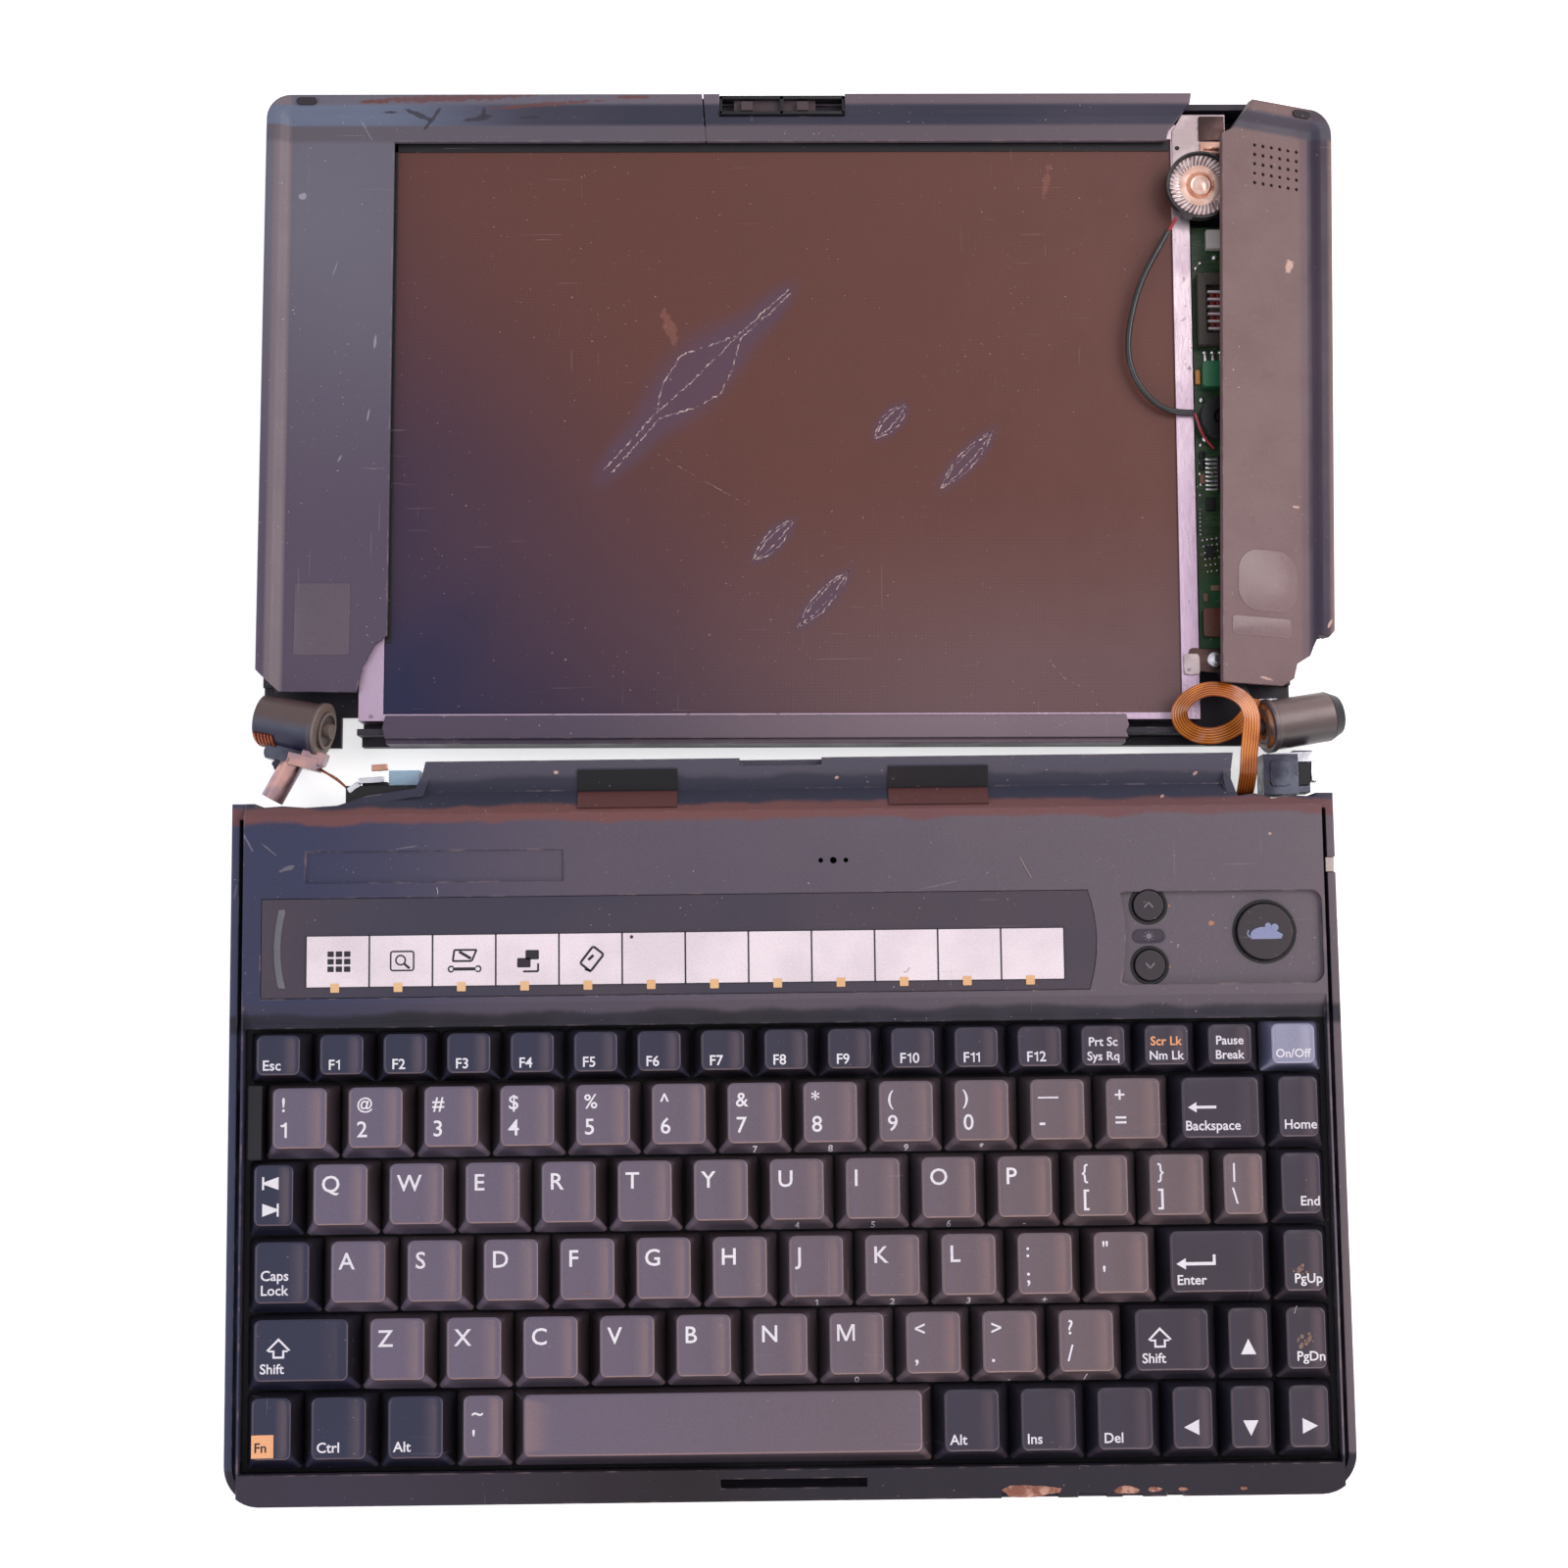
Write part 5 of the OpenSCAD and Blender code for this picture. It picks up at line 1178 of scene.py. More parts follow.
def make_windings():
    """The transformer's bobbin, with pale fins between red windings."""
    shape = bmesh.new()
    left, right = BOARD_U + 3.5, BOARD_U + 13.3
    for fin in range(6):
        v = 111.0 + 2.02 * fin
        box(shape, left, v, 10.15, right, v + 0.5, 12.1, 0.08)
        if fin < 5:
            for part in range(5):
                u = left + 0.7 + 1.75 * part
                box(shape, u, v + 0.62, 10.15, u + 1.62, v + 1.9, 11.5, 0.35, 1)
    add("transformer_bobbin", shape, LID, CHASSIS, [FIN, WINDING])


def capacitor_tones(look):
    """The far block is green, the near one red-brown, and the small chip orange."""
    spot = look.mapped(LID)
    v = look.along("Y", spot)
    look.paint(look.ramp(v, 60, 50), rgb(104, 42, 40))
    chip = look.math("MULTIPLY", look.ramp(look.along("X", spot), BOARD_U + 1.8, BOARD_U + 1.6),
                     look.ramp(v, 80, 90))
    look.paint(chip, rgb(232, 148, 66))
    look.paint(look.spot(LID, (BOARD_U + 5.6, 31.8, 0.5, 6, 0), 0.4), rgb(184, 132, 134), 0.6)


TAN = plastic("tan_part", rgb(150, 118, 96), rgb(112, 84, 70), rough=0.4, dust=0.3, bevel=0.1)
CAPACITOR = plastic("capacitor_film", rgb(46, 116, 78), rgb(34, 92, 60), rough=0.34, dust=0.4, bevel=0.4,
                    shine=0.5, extra=capacitor_tones)
make_solder()
make_small_parts()
make_windings()


# ---- Speaker ----

SPEAKER_AT = (113.8, 149.7, 14.5)


def make_speaker():
    """A clear pleated surround, a copper disc and a raised dome, set in a black rim."""
    x, y, z = SPEAKER_AT
    sides = 160
    shape = bmesh.new()
    rings = []
    for r, rise, pleat, skew in ((8.5, -0.15, 0, 0), (8.15, 0.2, 0.05, 0), (7.3, 0.42, 0.2, 1),
                                 (6.4, 0.36, 0.2, 2), (5.6, 0.1, 0.03, 3)):
        ring = circle(x, y, z, r, sides)
        ring = ring[skew:] + ring[:skew]
        rings.append([(px, py, pz + rise + pleat * (1 if i % 4 < 2 else -1))
                      for i, (px, py, pz) in enumerate(ring)])
    made = loft(shape, rings, cap_high=False)
    for low, high in zip(made[1:], made[2:]):
        for i in range(sides):
            if i % 4 in (1, 2):
                j = (i + 1) % sides
                shape.faces.get((low[i], low[j], high[j], high[i])).material_index = 3
    discs = (([(5.6, 0.1), (5.3, 0.22), (4.7, 0.26), (3.8, 0.2)], 1),
             ([(3.8, 0.2), (3.2, 0.24), (2.9, 0.42), (2.6, 0.5)], 2),
             ([(2.6, 0.5), (2.3, 0.4), (2.1, 0.32), (1.6, 0.52), (0.9, 0.68), (0.3, 0.72)], 1))
    for profile, index in discs:
        loft(shape, [circle(x, y, z + rise, r, 72) for r, rise in profile], cap_high=profile[-1][0] < 1,
             index=index)
    tones = (("speaker_film", rgb(170, 140, 140), rgb(104, 76, 78), 0.3),
             ("speaker_disc", rgb(238, 204, 190), rgb(222, 178, 160), 0.2),
             ("speaker_copper", rgb(212, 148, 120), rgb(184, 116, 98), 0.3),
             ("speaker_film_light", rgb(246, 234, 234), rgb(220, 200, 200), 0.2))
    looks = [two_tone(name, first, second, 0.24, (500, 3, 0.4, 0.62), (1400, 0.35), shiny)
             for name, first, second, shiny in tones]
    add("speaker_cone", shape, LID, CHASSIS, looks, crease=25,
        replaces=("speaker_membrane",))


def body_tones(look):
    """The speaker's body is paler lower down."""
    look.across("Z", 14.2, 12.5, rgb(58, 66, 60))


SPEAKER_BODY = plastic("speaker_body_plastic", rgb(44, 36, 40), rgb(34, 30, 32), rough=0.3, dust=0.6,
                       bevel=0.2, shine=0.5, extra=body_tones)
make_speaker()


# ---- Hinges and flex ----

BARREL_R = 6.6
BARREL_HALF = 8
BARREL_RISE = math.radians(11)
LID_FLOOR = 2
SPRING_ROOM = 0.5
BARREL_HEIGHT = (LID_FLOOR + BARREL_R / math.cos(BARREL_RISE) + BARREL_HALF * math.sin(BARREL_RISE)
                 + SPRING_ROOM)


def barrel_frame(x, y, yaw):
    """A hinge's own frame, with x along its barrel from its outer to its inner end."""
    turn = Matrix.Rotation(math.radians(yaw), 4, "Z") @ Matrix.Rotation(-BARREL_RISE, 4, "Y")
    return BASE @ Matrix.Translation((x, y, BARREL_HEIGHT)) @ turn


LEFT_HINGE = barrel_frame(-128.9, 196.9, -12)
RIGHT_HINGE = barrel_frame(135.8, 194.7, 189.6)


def tubes(name, lines, radius, matrix, material, replaces=()):
    """Several round wires as one mesh piece."""
    shape = bmesh.new()
    for line in lines:
        rings = []
        for i, point in enumerate(line):
            along = (Vector(line[min(i + 1, len(line) - 1)]) - Vector(line[max(i - 1, 0)])).normalized()
            side = along.cross(Vector((0.02, 0.05, 1))).normalized()
            up = side.cross(along)
            rings.append([Vector(point) + radius * (math.cos(a) * side + math.sin(a) * up)
                          for a in (2 * math.pi * k / 8 for k in range(8))])
        loft(shape, rings, cap_low=True)
    bmesh.ops.recalc_face_normals(shape, faces=shape.faces)
    add(name, shape, matrix, CHASSIS, material, crease=60, replaces=replaces)


def make_spring():
    """A flat copper spring shows at the left barrel's outer end, low on its near side."""
    lines = []
    for turn in range(6):
        x = -7.2 + 0.95 * turn
        angles = [math.radians(128 + 11 * step) for step in range(9)]
        lines.append([(x + 0.05 * i, 6.85 * math.cos(a), 6.85 * math.sin(a)) for i, a in enumerate(angles)])
    tubes("hinge_spring_coils", lines, 0.4, LEFT_HINGE, COPPER, ("hinge_spring_left",))


def barrel_tones(top, near_side_shade, plate, frame, low, high):
    """A barrel gets painted warm light above and behind and painted shade on its near side; its inner end is
    bare.
    """
    def extra(look):
        # Painted light on faces that look up and back, painted shade on those that look to the near side.
        look.paint(look.facing((0, 0.5, 0.85), 0.75, 1.0), top, 0.6)
        look.paint(look.facing((0, -1, 0), low, high), near_side_shade)
        place = look.along("X", look.mapped(frame))
        look.band(place, 7.2, 8.1, 0.3, 0.5, rgb(120, 104, 100))
        look.paint(look.ramp(place, 8.5, 8.9), plate)
        look.band(place, 9.5, 10.2, 0.15, 0.8, rgb(60, 50, 48))
    return extra


# The barrels' upper colours are painted light, their near-side colours painted shade.
LEFT_BARREL = plastic("left_barrel_paint", rgb(84, 66, 66), rgb(62, 52, 58), rough=0.34, dust=0.6, shine=0.5,
                      extra=barrel_tones(rgb(104, 82, 78), rgb(34, 38, 70), rgb(132, 116, 108), LEFT_HINGE,
                                         -0.2, 0.3))
RIGHT_BARREL = plastic("right_barrel_paint", rgb(104, 86, 86), rgb(80, 68, 70), rough=0.36, dust=0.6,
                       shine=0.5,
                       extra=barrel_tones(rgb(146, 124, 120), rgb(46, 41, 46), rgb(80, 70, 78), RIGHT_HINGE,
                                          0.0, 0.75))

FLEX_ROUTE = [
    (123.6, 200.6, 13.2), (122.4, 196.4, 12.2), (118.6, 192.8, 12), (113.6, 191, 12.2), (108.6, 191.4, 12.8),
    (104.9, 193.8, 14), (104, 197.4, 15.2), (106.6, 200.8, 16.6), (111.4, 202.6, 17.4), (116.8, 201.8, 17.6),
    (120.6, 199.2, 17.8), (122, 195.4, 18), (121.8, 190.4, 17.8), (121.2, 185.4, 17.6), (121, 181, 17),
    (120.9, 178, 15), (120.9, 175.8, 12.4), (120.9, 175.2, 9)]


def smooth_route(points, parts=6):
    """A Catmull-Rom curve through points."""
    line = []
    for i in range(len(points) - 1):
        p0, p1, p2, p3 = (Vector(points[min(max(i + k, 0), len(points) - 1)]) for k in (-1, 0, 1, 2))
        for part in range(parts):
            t = part / parts
            line.append(0.5 * (2 * p1 + (p2 - p0) * t + (2 * p0 - 5 * p1 + 4 * p2 - p3) * t * t
                               + (3 * p1 - p0 - 3 * p2 + p3) * t * t * t))
    return line + [Vector(points[-1])]


def flex_look(name, colour, second):
    look = Look(name, colour, 0.26)
    look.paint(look.ramp(look.noise(70, 2), 0.4, 0.6), second)
    # Painted pale glints in patches.
    look.paint(look.ramp(look.noise(110, 3), 0.6, 0.74, 0, 0.65), rgb(214, 160, 150))
    # Painted shade on faces that turn away from above.
    look.paint(look.facing((0, 0, 1), 0.75, 0.25), rgb(150, 72, 20))
    look.raise_by(look.noise(500, 2), 0.4)
    return look.done(bump=0.25)


def make_flex():
    """A looped ribbon of amber film with fine lines along it, whose band leans as it turns."""
    route = smooth_route(FLEX_ROUTE)
    edges = [-1, -0.8, -0.72, -0.5, -0.42, -0.18, -0.1, 0.14, 0.22, 0.46, 0.54, 0.76, 0.84, 1]
    corners = [(edge, -1) for edge in edges] + [(edge, 1) for edge in reversed(edges)]
    shape = bmesh.new()
    rings = []
    for i, point in enumerate(route):
        along = (route[min(i + 1, len(route) - 1)] - route[max(i - 1, 0)]).normalized()
        level = along.cross(Vector((0, 0, 1))).normalized()
        up = level.cross(along).normalized()
        share = i / (len(route) - 1)
        lean = math.radians(34) * math.sin(math.pi * min(share / 0.7, 1))
        wide = level * math.cos(lean) + up * math.sin(lean)
        thick = wide.cross(along).normalized()
        rings.append([point + wide * a * 2.25 + thick * b * 0.14 for a, b in corners])
    made = loft(shape, rings, cap_low=True)
    for low, high in zip(made, made[1:]):
        for i in range(len(corners)):
            if i % 2 and corners[i][1] == corners[(i + 1) % len(corners)][1]:
                verts = (low[i], low[(i + 1) % len(corners)], high[(i + 1) % len(corners)], high[i])
                shape.faces.get(verts).material_index = 1
    bmesh.ops.recalc_face_normals(shape, faces=shape.faces)
    looks = [flex_look("flex_film", rgb(196, 98, 22), rgb(150, 68, 14)),
             flex_look("flex_lines", rgb(248, 182, 104), rgb(216, 134, 60))]
    add("flex_ribbon_loop", shape, BASE, CHASSIS, looks, crease=50, replaces=("flex_ribbon",))


def make_amber_ring():
    """The film wrapped round the right barrel's bolt."""
    shape = bmesh.new()
    profile = [(9.5, 2.2), (10.1, 2.3), (10.4, 3.0), (10.3, 4.6), (9.9, 5.7), (9.42, 5.9)]
    loft(shape, [[(x, py, pz) for py, pz, _ in circle(0, 0, 0, r, 40)] for x, r in profile], cap_high=False)
    bmesh.ops.recalc_face_normals(shape, faces=shape.faces)
    film = two_tone("amber_film", rgb(176, 104, 48), rgb(92, 56, 44), 0.3, (260, 3, 0.42, 0.62), (900, 0.4))
    add("amber_film_ring", shape, RIGHT_HINGE, CHASSIS, film, crease=50)


make_spring()
make_flex()
make_amber_ring()


# ---- Deck prints and small details ----

CARD_X0 = -121.175
CELL = 271.95 / 17
CARD_Y0 = 127.65
CARD_DEPTH = 13.2
CONTROL_X = 92.6
CONTROL_Y0 = 126.15
UP_Y = CONTROL_Y0 + 20
DOWN_Y = CONTROL_Y0 + 4.8
EJECT_AT = (122, 139.15)
PRINT_Z = 26.13


def stroke(shape, points, width, z, index=0):
    """A flat line of even width along points."""
    for start, end in zip(points, points[1:]):
        long = math.dist(start, end)
        side = ((start[1] - end[1]) / long * width / 2, (end[0] - start[0]) / long * width / 2)
        corners = [(start, -1), (end, -1), (end, 1), (start, 1)]
        flat(shape, [(at[0] + side[0] * out, at[1] + side[1] * out) for at, out in corners], z, index)


def arc(x, y, r, start=0, end=360, steps=20):
    angles = [math.radians(start + (end - start) * i / steps) for i in range(steps + 1)]
    return [(x + r * math.cos(a), y + r * math.sin(a)) for a in angles]


def card_icon(shape, number, x, y):
    """A generic sign for each of the first cells: a grid, a lens, a tool, two boxes and a book."""
    def line(points, width):
        stroke(shape, [(x + a, y + b) for a, b in points], width, PRINT_Z, 1)

    def block(dx, dy, half_width, half_height, radius, steps):
        corners = rounded(-half_width, -half_height, half_width, half_height, radius, steps)
        flat(shape, [(x + dx + a, y + dy + b) for a, b in corners], PRINT_Z, 1)
    if number == 0:
        for i in range(3):
            for j in range(3):
                block(2.1 * (i - 1), 1.9 * (j - 1), 0.8, 0.7, 0.15, 2)
    if number == 1:
        line(rounded(-2.9, -2.4, 2.9, 2.4, 0.5, 3) + [(2.9, 1.9)], 0.4)
        line(arc(-0.4, 0.2, 1.2), 0.4)
        line([(0.5, -0.7), (1.9, -1.9)], 0.6)
    if number == 2:
        line([(-2.8, 2.6), (2.8, 2.6), (1.6, -0.2), (-3.2, -0.2), (-2.8, 2.6)], 0.5)
        line([(-1.6, 2.2), (1.4, 0.4)], 0.7)
        line([(-3.2, -2.2), (2.6, -2.2)], 0.8)
        line(arc(-3.6, -2.2, 0.7, 40, 320), 0.4)
        line(arc(3.2, -2.2, 0.7, -140, 140), 0.4)
    if number == 3:
        block(-1.2, -0.8, 1.7, 1.2, 0.3, 3)
        block(0.9, 1.2, 1.7, 1.2, 0.3, 3)
        line([(-1.4, -3.0), (2.4, -3.0), (2.4, -1)], 0.5)
    if number == 4:
        tilt = math.radians(-38)
        turned = [(a * math.cos(tilt) - b * math.sin(tilt), a * math.sin(tilt) + b * math.cos(tilt))
                  for a, b in rounded(-1.7, -2.7, 1.7, 2.7, 0.4, 3)]
        line(turned + turned[:1], 0.6)
        line([(-0.9, -0.3), (0.4, 0.9)], 0.7)
        line([(-1.8, -2.6), (-0.2, -3.2)], 0.5)


def make_card_print():
    """The card's lines and signs, and an index mark below each cell."""
    shape = bmesh.new()
    for cell in range(13):
        x = CARD_X0 + CELL * cell
        wide = 0.3 if cell in (0, 12) else 0.42
        stroke(shape, [(x, CARD_Y0), (x, CARD_Y0 + CARD_DEPTH)], wide, PRINT_Z, 1)
    for y in (CARD_Y0 + 0.1, CARD_Y0 + CARD_DEPTH - 0.1):
        stroke(shape, [(CARD_X0, y), (CARD_X0 + 12 * CELL, y)], 0.2, PRINT_Z, 1)
    for cell in range(5):
        card_icon(shape, cell, CARD_X0 + CELL * (cell + 0.52), CARD_Y0 + 6.6)
    for cell in range(12):
        x = CARD_X0 + CELL * (cell + 0.5) - 0.7
        slab(shape, rounded(x - 1.1, CARD_Y0 - 1.2, x + 1.1, CARD_Y0 + 1.1, 0.15, 2), 25.92, 26.16)
    dome(shape, CARD_X0 + CELL * 5.15, CARD_Y0 + 12, 26.1, 0.45, 0.12, 1)
    add("label_card_print", shape, BASE, CHASSIS, [PEACH_INK, INK])


def make_panel_bar():
    """A slim curved bar stands on the label panel's left end."""
    shape = bmesh.new()
    rows = []
    for step in range(19):
        angle = math.radians(180 + 14.5 * (step / 9 - 1))
        share = math.sin(math.pi * step / 18) ** 0.35
        middle = (-88.6 + 40 * math.cos(angle), 137.6 + 40 * math.sin(angle))
        rows.append([(middle[0] + dx * 0.9, middle[1], 25.88 + rise * 0.5 * share)
                     for dx, rise in ((-1, 0), (-0.75, 0.7), (0, 1), (0.75, 0.7), (1, 0))])
    loft(shape, [[Vector(point) for point in row] for row in rows], cap_low=True)
    bmesh.ops.recalc_face_normals(shape, faces=shape.faces)
    add("label_panel_bar", shape, BASE, CHASSIS, BAR)


def chevron(x, y, up):
    return [(x - 1.1, y - 0.55 * up), (x, y + 0.75 * up), (x + 1.1, y - 0.55 * up)]


def make_control_signs():
    """Signs for brightness and for the pointer, each on its own button, and a sun between the buttons."""
    for name, y, up in (("brightness_up_button", UP_Y, 1), ("brightness_down_button", DOWN_Y, -1)):
        shape = bmesh.new()
        stroke(shape, chevron(CONTROL_X, y, up), 0.34, 25.73)
        add(name + "_sign", shape, BASE, name + "_body", SIGN)
    sun = bmesh.new()
    x, y = CONTROL_X, CONTROL_Y0 + 12.2
    loft(sun, [[(px, py, pz) for px, py in rounded(x - w, y - h, x + w, y + h, h, 6)]
               for w, h, pz in ((4.2, 1.8, 24.8), (4.1, 1.7, 25.05), (3.8, 1.4, 25.08), (3.6, 1.25, 24.9))])
    flat(sun, arc(x, y, 0.7, 0, 345, 15), 24.93, 1)
    for ray in range(8):
        a = math.radians(45 * ray)
        ends = [(x + reach * math.cos(a), y + reach * math.sin(a)) for reach in (0.95, 1.3)]
        stroke(sun, ends, 0.2, 24.93, 1)
    add("brightness_window", sun, BASE, CHASSIS, [WINDOW, SIGN])
    mouse = bmesh.new()
    x, y = EJECT_AT[0] - 0.2, EJECT_AT[1] - 0.9
    back = [(px, y + (py - y) * 0.62) for px, py in arc(x - 0.3, y, 3.3, 0, 180, 16)]
    flat(mouse, back + [(x - 3.6, y - 1), (x + 3.0, y - 1)], 26.14)
    flat(mouse, arc(x + 2.6, y + 1.9, 0.95, 0, 340, 14), 26.15)
    flat(mouse, arc(x + 0.9, y + 2.3, 0.8, 0, 340, 14), 26.15)
    flat(mouse, [(x + 2.6, y + 1.3), (x + 4.6, y + 0.1), (x + 4.2, y - 0.9), (x + 2, y - 1)], 26.145)
    stroke(mouse, [(x - 3.4, y - 0.8), (x - 4.4, y + 0.2), (x - 4.1, y + 1.3)], 0.3, 26.14)
    add("eject_button_sign", mouse, BASE, "eject_button_body", MOUSE_INK)


def make_button_rings():
    """Dark clearance rings round the three buttons."""
    shape = bmesh.new()
    for x, y, r in ((CONTROL_X, UP_Y, 4.1), (CONTROL_X, DOWN_Y, 4.1), (*EJECT_AT, 7.3)):
        loft(shape, [[(px, py, pz) for px, py in arc(x, y, radius, 0, 360, 48)[:-1]]
                     for radius, pz in ((r + 0.9, 24.81), (r + 0.7, 24.92), (r + 0.02, 24.86), (r, 24.6))],
             cap_high=False)
    add("button_bezel_rings", shape, BASE, CHASSIS, BLACK)


def make_stickers():
    """Blank places where stickers lay: clear film with a slightly raised edge."""
    for name, matrix, (x0, y0, x1, y1), z, radius in (
            ("side_sticker_film", SIDE, (4.6, 34.2, 22.6, 50.6), -1.68, 6),
            ("side_sticker_tail", SIDE, (2.8, 27.6, 20.8, 32.6), -1.68, 1),
            ("left_sticker_film", LID, (-127.2, 23.4, -112.6, 42.6), 12.32, 0.6)):
        shape = bmesh.new()
        slab(shape, rounded(x0, y0, x1, y1, radius, 8), z, z + 0.12, 0.1)
        add(name, shape, matrix, CHASSIS, STICKER)


def make_edge_crumbs():
    """Crumbs of melted pale plastic stuck along the front edge."""
    shape = bmesh.new()
    dice = random.Random(9)
    for x, wide in ((59, 7.4), (83, 3.2), (90, 1.8), (97, 1.2), (112, 0.9)):
        deep = min(1.5, 0.2 + wide / 4)
        rings = []
        for reach, rise in ((1, 0), (0.94, 0.5), (0.7, 0.85), (0.35, 1)):
            ring = []
            for k in range(18):
                a = 2 * math.pi * k / 18
                wobble = 1 + 0.12 * math.sin(3 * a + wide) + dice.uniform(-0.13, 0.13)
                ring.append((x + wide * reach * wobble * math.cos(a),
                             1.7 + deep * reach * wobble * math.sin(a),
                             25.85 + 0.55 * rise))
            rings.append(ring)
        loft(shape, rings)
    add("melted_edge_crumbs", shape, BASE, CHASSIS, CRUMB)


def make_hair():
    """A hair and a few fibres lie on the deck."""
    rng = random.Random(21)
    lines = []
    for x, y, long, turn in ((63, 153.5, 6, 118), (30, 130, 2.2, 30), (-88, 151, 1.8, 75), (126, 44, 2, 50)):
        line = []
        for step in range(9):
            a = math.radians(turn + 30 * math.sin(step / 3 + x))
            line.append((x, y, 26.12))
            x += long / 8 * math.cos(a)
            y += long / 8 * math.sin(a) + rng.uniform(-0.05, 0.05)
        lines.append(line)
    tubes("deck_fibres", lines, 0.09, BASE, FIBRE)


PEACH_INK = ink("peach_ink", rgb(244, 200, 152), rgb(236, 188, 138))
BAR = plastic("bar_plastic", rgb(150, 148, 156), rgb(104, 104, 114), rough=0.4, dust=1.0, bevel=0.1)
SIGN = ink("sign_ink", rgb(150, 140, 150), rgb(132, 124, 134))
MOUSE_INK = ink("pointer_sign_ink", rgb(160, 168, 200), rgb(144, 150, 186))
WINDOW = plastic("brightness_window_plastic", rgb(84, 74, 86), rgb(70, 62, 74), rough=0.3, dust=0.5,
                 bevel=0.1)
STICKER = plastic("sticker_film", rgb(98, 86, 98), rgb(106, 94, 104), rough=0.26, dust=0.8, bevel=0,
                  shine=0.35, extra=lambda look: look.across("X", -20, 20, rgb(134, 110, 112)))
CRUMB = plastic("melted_plastic", rgb(146, 92, 78), rgb(126, 82, 72), rough=0.4, dust=0.2, bevel=0,
                extra=lambda look: look.paint(look.ramp(look.noise(420, 4), 0.46, 0.62), rgb(212, 164, 144)))
FIBRE = ink("pale_fibre", rgb(206, 188, 180), rgb(180, 160, 156), 0.6)
make_card_print()
make_panel_bar()
make_control_signs()
make_button_rings()
make_stickers()
make_edge_crumbs()
make_hair()


# ---- CAD nodes' finishes ----

def pad_tones(look):
    """Glossy tape, black behind and reddish in front."""
    look.paint(look.ramp(look.along("Y", look.mapped(BASE)), 176.6, 177.4), rgb(22, 21, 27))


def card_tones(look):
    look.paint(look.ramp(look.noise(40, 3), 0.4, 0.62, 0, 0.5), rgb(220, 206, 214))


CARD = plastic("label_paper", rgb(252, 238, 244), rgb(244, 230, 238), rough=0.6, dust=0, bevel=0,
               extra=card_tones)
PAD = plastic("glossy_tape", rgb(92, 52, 52), rgb(80, 48, 50), rough=0.24, dust=1.0, bevel=0.2, shine=0.25,
              extra=pad_tones)
PALE = plastic("pale_nylon", rgb(226, 216, 210), rgb(200, 190, 186), rough=0.4, dust=0.4, bevel=0.2)
BLUE = plastic("pale_blue_nylon", rgb(176, 214, 240), rgb(206, 220, 232), rough=0.32, dust=1.0, bevel=0.3)
LIGHT = plastic("status_light_lens", rgb(222, 204, 200), rgb(196, 178, 176), rough=0.2, dust=0.5, bevel=0.2)
CORE = plastic("ferrite_core", rgb(74, 66, 60), rgb(52, 46, 44), rough=0.5, dust=0.8, bevel=0.4)
# Painted highlight: the cast metal with a pinkish highlight painted in, on the left casting and the left
# hinge arm.
PINK_HIGHLIGHT_METAL = metal("cast_metal_pink_highlight", rgb(206, 158, 148), rgb(150, 128, 140), rough=0.36)
SHEET = metal("bracket_sheet", rgb(196, 180, 184), rgb(164, 148, 152), rough=0.4, brushed=(1, 10, 1))
BLUE_STEEL = metal("blue_grey_steel", rgb(92, 94, 108), rgb(54, 54, 66), rough=0.34)
BRIGHT = metal("bright_edge_metal", rgb(226, 222, 230), rgb(170, 170, 182), rough=0.3)
COPPER_TAN = metal("tan_metal", rgb(226, 178, 160), rgb(190, 140, 122), rough=0.34)
BROWN_METAL = metal("brown_metal", rgb(104, 80, 78), rgb(66, 50, 50), rough=0.4)
LID_BACK = plastic("lid_back_plastic", rgb(54, 48, 58), rgb(44, 40, 50), edge=0.4, rough=0.5, dust=1.0)
BUTTON = plastic("button_plastic", rgb(70, 62, 68), rgb(58, 52, 58), edge=0.3, rough=0.44, dust=1.0)
LATCH = plastic("latch_plastic", rgb(86, 70, 74), rgb(74, 62, 68), rough=0.46, dust=0.8, bevel=0.2)


def ragged_block(shape, x, y, z, long, deep, tall, turn, seed, index=0):
    """A rough block of torn metal, turned about Z."""
    dice = random.Random(seed)
    a = math.radians(turn)
    outline = rounded(-long / 2, -deep / 2, long / 2, deep / 2, min(long, deep) / 5, 3, sides=4)
    jog = [dice.uniform(-0.35, 0.35) for _ in outline]
    rings = []
    for share, inset in ((0, 0.6), (0.25, 0), (0.8, 0), (1, 0.5)):
        ring = []
        for (px, py), wobble in zip(outline, jog):
            shrink = 1 - (inset + wobble * (1 if share else 0.3)) / max(long, deep)
            px, py = px * shrink, py * shrink
            ring.append((x + px * math.cos(a) - py * math.sin(a), y + px * math.sin(a) + py * math.cos(a),
                         z + tall * share + wobble * 0.6))
        rings.append(ring)
    loft(shape, rings, cap_low=True, index=index)


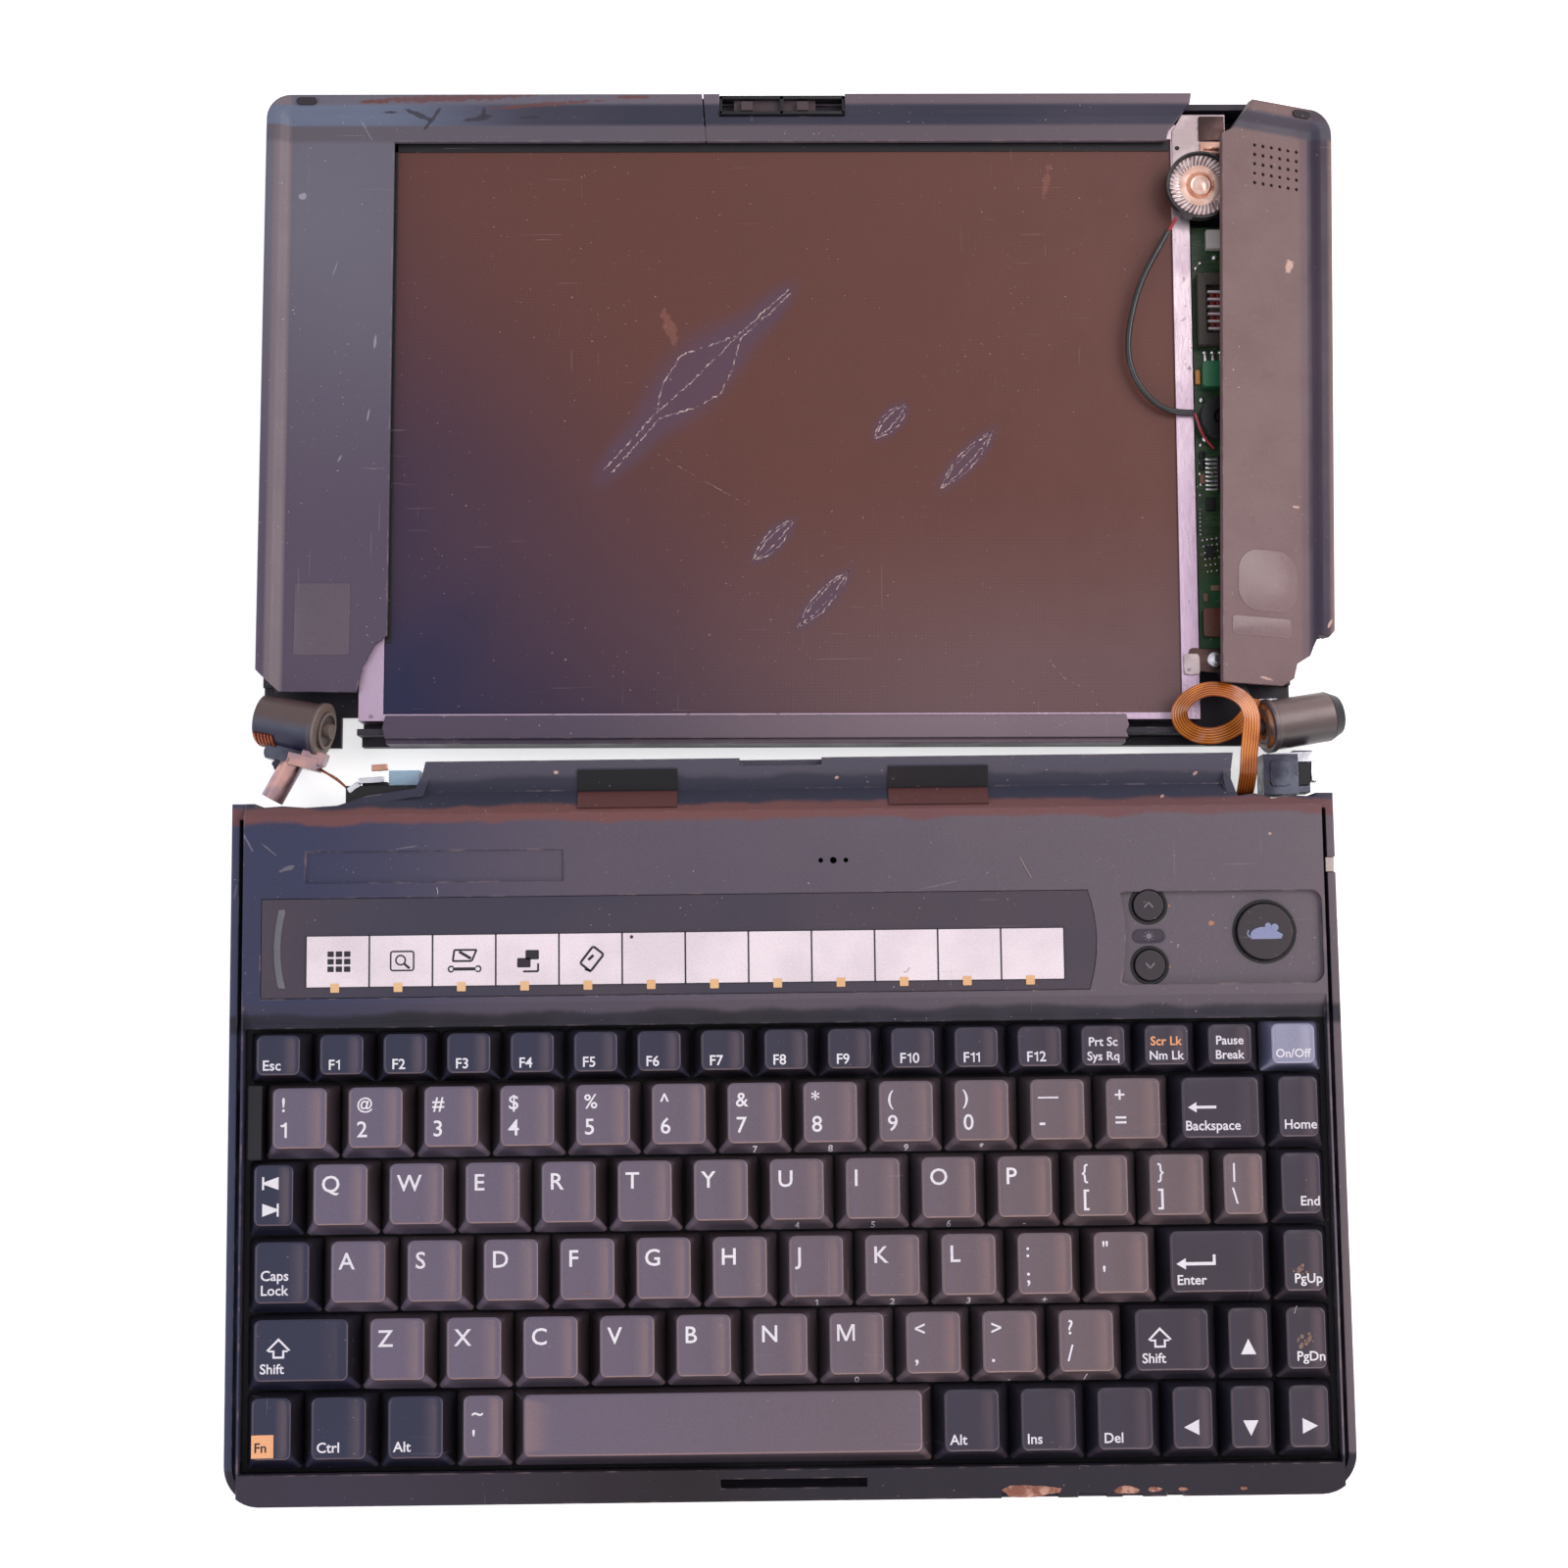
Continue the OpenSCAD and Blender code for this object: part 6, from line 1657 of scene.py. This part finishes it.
def make_left_torn_metal():
    """Torn castings between the left barrel and its post, and bits of solder in the notch."""
    shape = bmesh.new()
    for block in ((-129.6, 189.6, 4.6, 12.5, 5.6, 7.6, -12, 1, 0),
                  (-122.6, 188.2, 7.6, 6.4, 3.6, 6.4, -24, 2, 1),
                  (-131.4, 186.2, 4.4, 5.4, 5.4, 4.2, 30, 3, 0)):
        ragged_block(shape, *block)
    # The second block gets the painted pinkish highlight.
    add("left_hinge_casting", shape, BASE, CHASSIS, [BLUE_STEEL, PINK_HIGHLIGHT_METAL])
    lines = [[(-124.6, 186.4, 8), (-121, 184.6, 8.6), (-117.4, 182.6, 8.2), (-114.4, 179.8, 7.6),
              (-112.6, 178.6, 8)],
             [(-124.4, 186.8, 8.8), (-120.4, 184.4, 9.4), (-116.6, 181.8, 9), (-113.4, 179, 8.4)],
             [(-132.6, 184, 8.6), (-134.8, 181.8, 7.8), (-134, 180, 8.4), (-131.6, 180.2, 9)],
             [(-132.2, 183, 9), (-134.2, 180.8, 8.6), (-131, 178.8, 9.2)]]
    tubes("left_hinge_strands", [smooth_route(line, 4) for line in lines], 0.32, BASE, COPPER)
    bits = bmesh.new()
    for block in ((-106.6, 181.2, 17.2, 6.6, 1.5, 0.8, 3, 4, 0),
                  (-111.2, 179.4, 16.4, 3.6, 1.6, 1.2, 34, 5, 0),
                  (-104.4, 184.4, 17.2, 4.2, 1.7, 1.1, 2, 6, 1)):
        ragged_block(bits, *block)
    add("notch_solder_bits", bits, BASE, CHASSIS, [BRIGHT, COPPER_TAN])


def make_right_clamp():
    """The right hinge's clamp: a bright flange, a folded steel leg and a black block."""
    shape = bmesh.new()
    for block in ((133.2, 184.6, 12.4, 14.5, 2.6, 4.2, 2, 11, 1),
                  (129.2, 180.4, 12.2, 5.4, 7.2, 5.2, 0, 12, 0),
                  (135.2, 180.2, 11.6, 4.6, 6.4, 4.4, 0, 13, 2),
                  (138.4, 181.4, 11.4, 1.5, 6.4, 4.6, 0, 14, 1)):
        ragged_block(shape, *block)
    add("right_hinge_clamp", shape, BASE, CHASSIS, [BLUE_STEEL, BRIGHT, BLACK])


def make_bracket_shield():
    """Pink-tan and dark metal beside the far corner's bracket, and a black disc as painted shade in the
    bracket's hole.
    """
    shape = bmesh.new()
    box(shape, 114.4, 163.4, 11.0, 121.2, 170.2, 11.5, 0.15, 1)
    box(shape, 114.6, 156.4, 11.0, 121.4, 163.0, 11.6, 0.2, 0)
    for v, tall in ((157.6, 0.5), (159.2, 0.7), (160.8, 0.5)):
        box(shape, 115.4, v, 11.6, 121.2, v + 0.7, 11.6 + tall, 0.15, 0)
    # Painted shade: a black disc stands for the bracket's hole.
    slab(shape, [(px, py) for px, py in arc(108.5, 161.5, 0.62, 0, 345, 23)], 10.8, 10.98, index=2)
    add("bracket_shield", shape, LID, CHASSIS, [COPPER_TAN, BROWN_METAL, BLACK])


def make_latch_rim():
    """Black edges line the latch's opening, with a post in its middle."""
    shape = bmesh.new()
    left, right, near, far = -15.1, 18.7, 170.2, 175.3
    for x0, y0, x1, y1 in ((left, near, right, near + 0.8), (left, far - 0.9, right, far),
                           (left, near, left + 0.8, far),
                           (right - 0.8, near, right, far), (1.2, near, 2.2, far)):
        box(shape, x0, y0, 10.2, x1, y1, 13.6, 0.15)
    add("latch_opening_rim", shape, LID, CHASSIS, BLACK)


def make_lower_bracket():
    """A dark bracket with a bright screw ties the screen's frame to the lid near the right hinge."""
    shape = bmesh.new()
    for block in ((113.4, 21.6, 9.6, 9.4, 6.4, 1.4, -4, 21, 1),
                  (120.4, 15.6, 8.6, 4.2, 10.4, 3.4, 32, 22, 2),
                  (109.6, 20.6, 10.7, 4.2, 5.6, 0.5, 0, 23, 3)):
        ragged_block(shape, *block)
    slab(shape, arc(115.5, 21.8, 2.0, 0, 345, 23), 10.6, 11.9, 0.4, 0)
    dome(shape, 115.5, 21.8, 11.9, 1.1, 0.4, 0)
    for block in ((128.6, 9.6, 10, 6.6, 3.4, 2.0, 4, 24, 0), (134.6, 8.6, 10, 3.4, 3.6, 3.0, 30, 25, 0)):
        ragged_block(shape, *block)
    add("lower_right_bracket", shape, LID, CHASSIS, [BRIGHT, BROWN_METAL, BLACK, SHEET])


def make_burn_residue():
    """Burnt crumbs stuck to the paging keys."""
    shape = bmesh.new()
    dice = random.Random(31)
    for x, y, spread, count in ((127.4, 54.6, 2.2, 12), (128.6, 37.2, 2.2, 14)):
        for _ in range(count):
            px, py = x + dice.gauss(0, spread / 2), y + dice.gauss(0, spread / 2.6)
            dome(shape, min(px, 131), py, 25.95, dice.uniform(0.2, 0.7), dice.uniform(0.15, 0.35), 0, 7)
    add("burn_residue", shape, BASE, "paging_keys_body", ASH)


ASH = ink("burnt_crumbs", rgb(112, 86, 80), rgb(168, 142, 132), 0.7)
make_left_torn_metal()
make_right_clamp()
make_bracket_shield()
make_latch_rim()
make_lower_bracket()
make_burn_residue()


FINISHES = (
    (BEZEL, "bezel_main", "bezel_lower_strip"),
    (SIDE_PLASTIC, "bezel_side_piece"),
    (HOUSING, "base_tray", "base_top_cover"),
    (BUTTON, "brightness_up_button", "brightness_down_button", "eject_button"),
    (LID_BACK, "lid_back"),
    (LATCH, "lid_latch"),
    (DARK, "keyboard_plate", "key_filler", "battery_pack"),
    (BLACK, "choke_coil", "board_chips", "rear_connectors", "hinge_cap_right"),
    (PANEL, "label_panel"),
    (CARD, "label_card"),
    (SILVER, "base_screws", "card_cage"),
    (SHEET, "corner_bracket"),
    (BLUE_STEEL, "hinge_arm_right"),
    # Painted pinkish highlight on the left hinge arm.
    (PINK_HIGHLIGHT_METAL, "hinge_arm_left"),
    (STEEL, "hard_drive"),
    (FRAME_METAL, "lcd_frame"),
    (SCREEN, "lcd_panel"),
    (RUBBER, "rubber_feet", "lid_bumpers"),
    (SPEAKER_BODY, "speaker_body"),
    (PAD, "glossy_pads"),
    (BOARD, "inverter_board", "mainboard"),
    (CORE, "transformer"),
    (CAPACITOR, "film_capacitors"),
    (PALE, "board_connector"),
    (BLUE, "blue_connector"),
    (LIGHT, "status_light"),
    (LEFT_BARREL, "hinge_barrel_left"),
    (RIGHT_BARREL, "hinge_barrel_right"),
)
for finish, *node_names in FINISHES:
    finish_nodes(node_names, finish)

bpy.context.scene.view_settings.view_transform = "Standard"
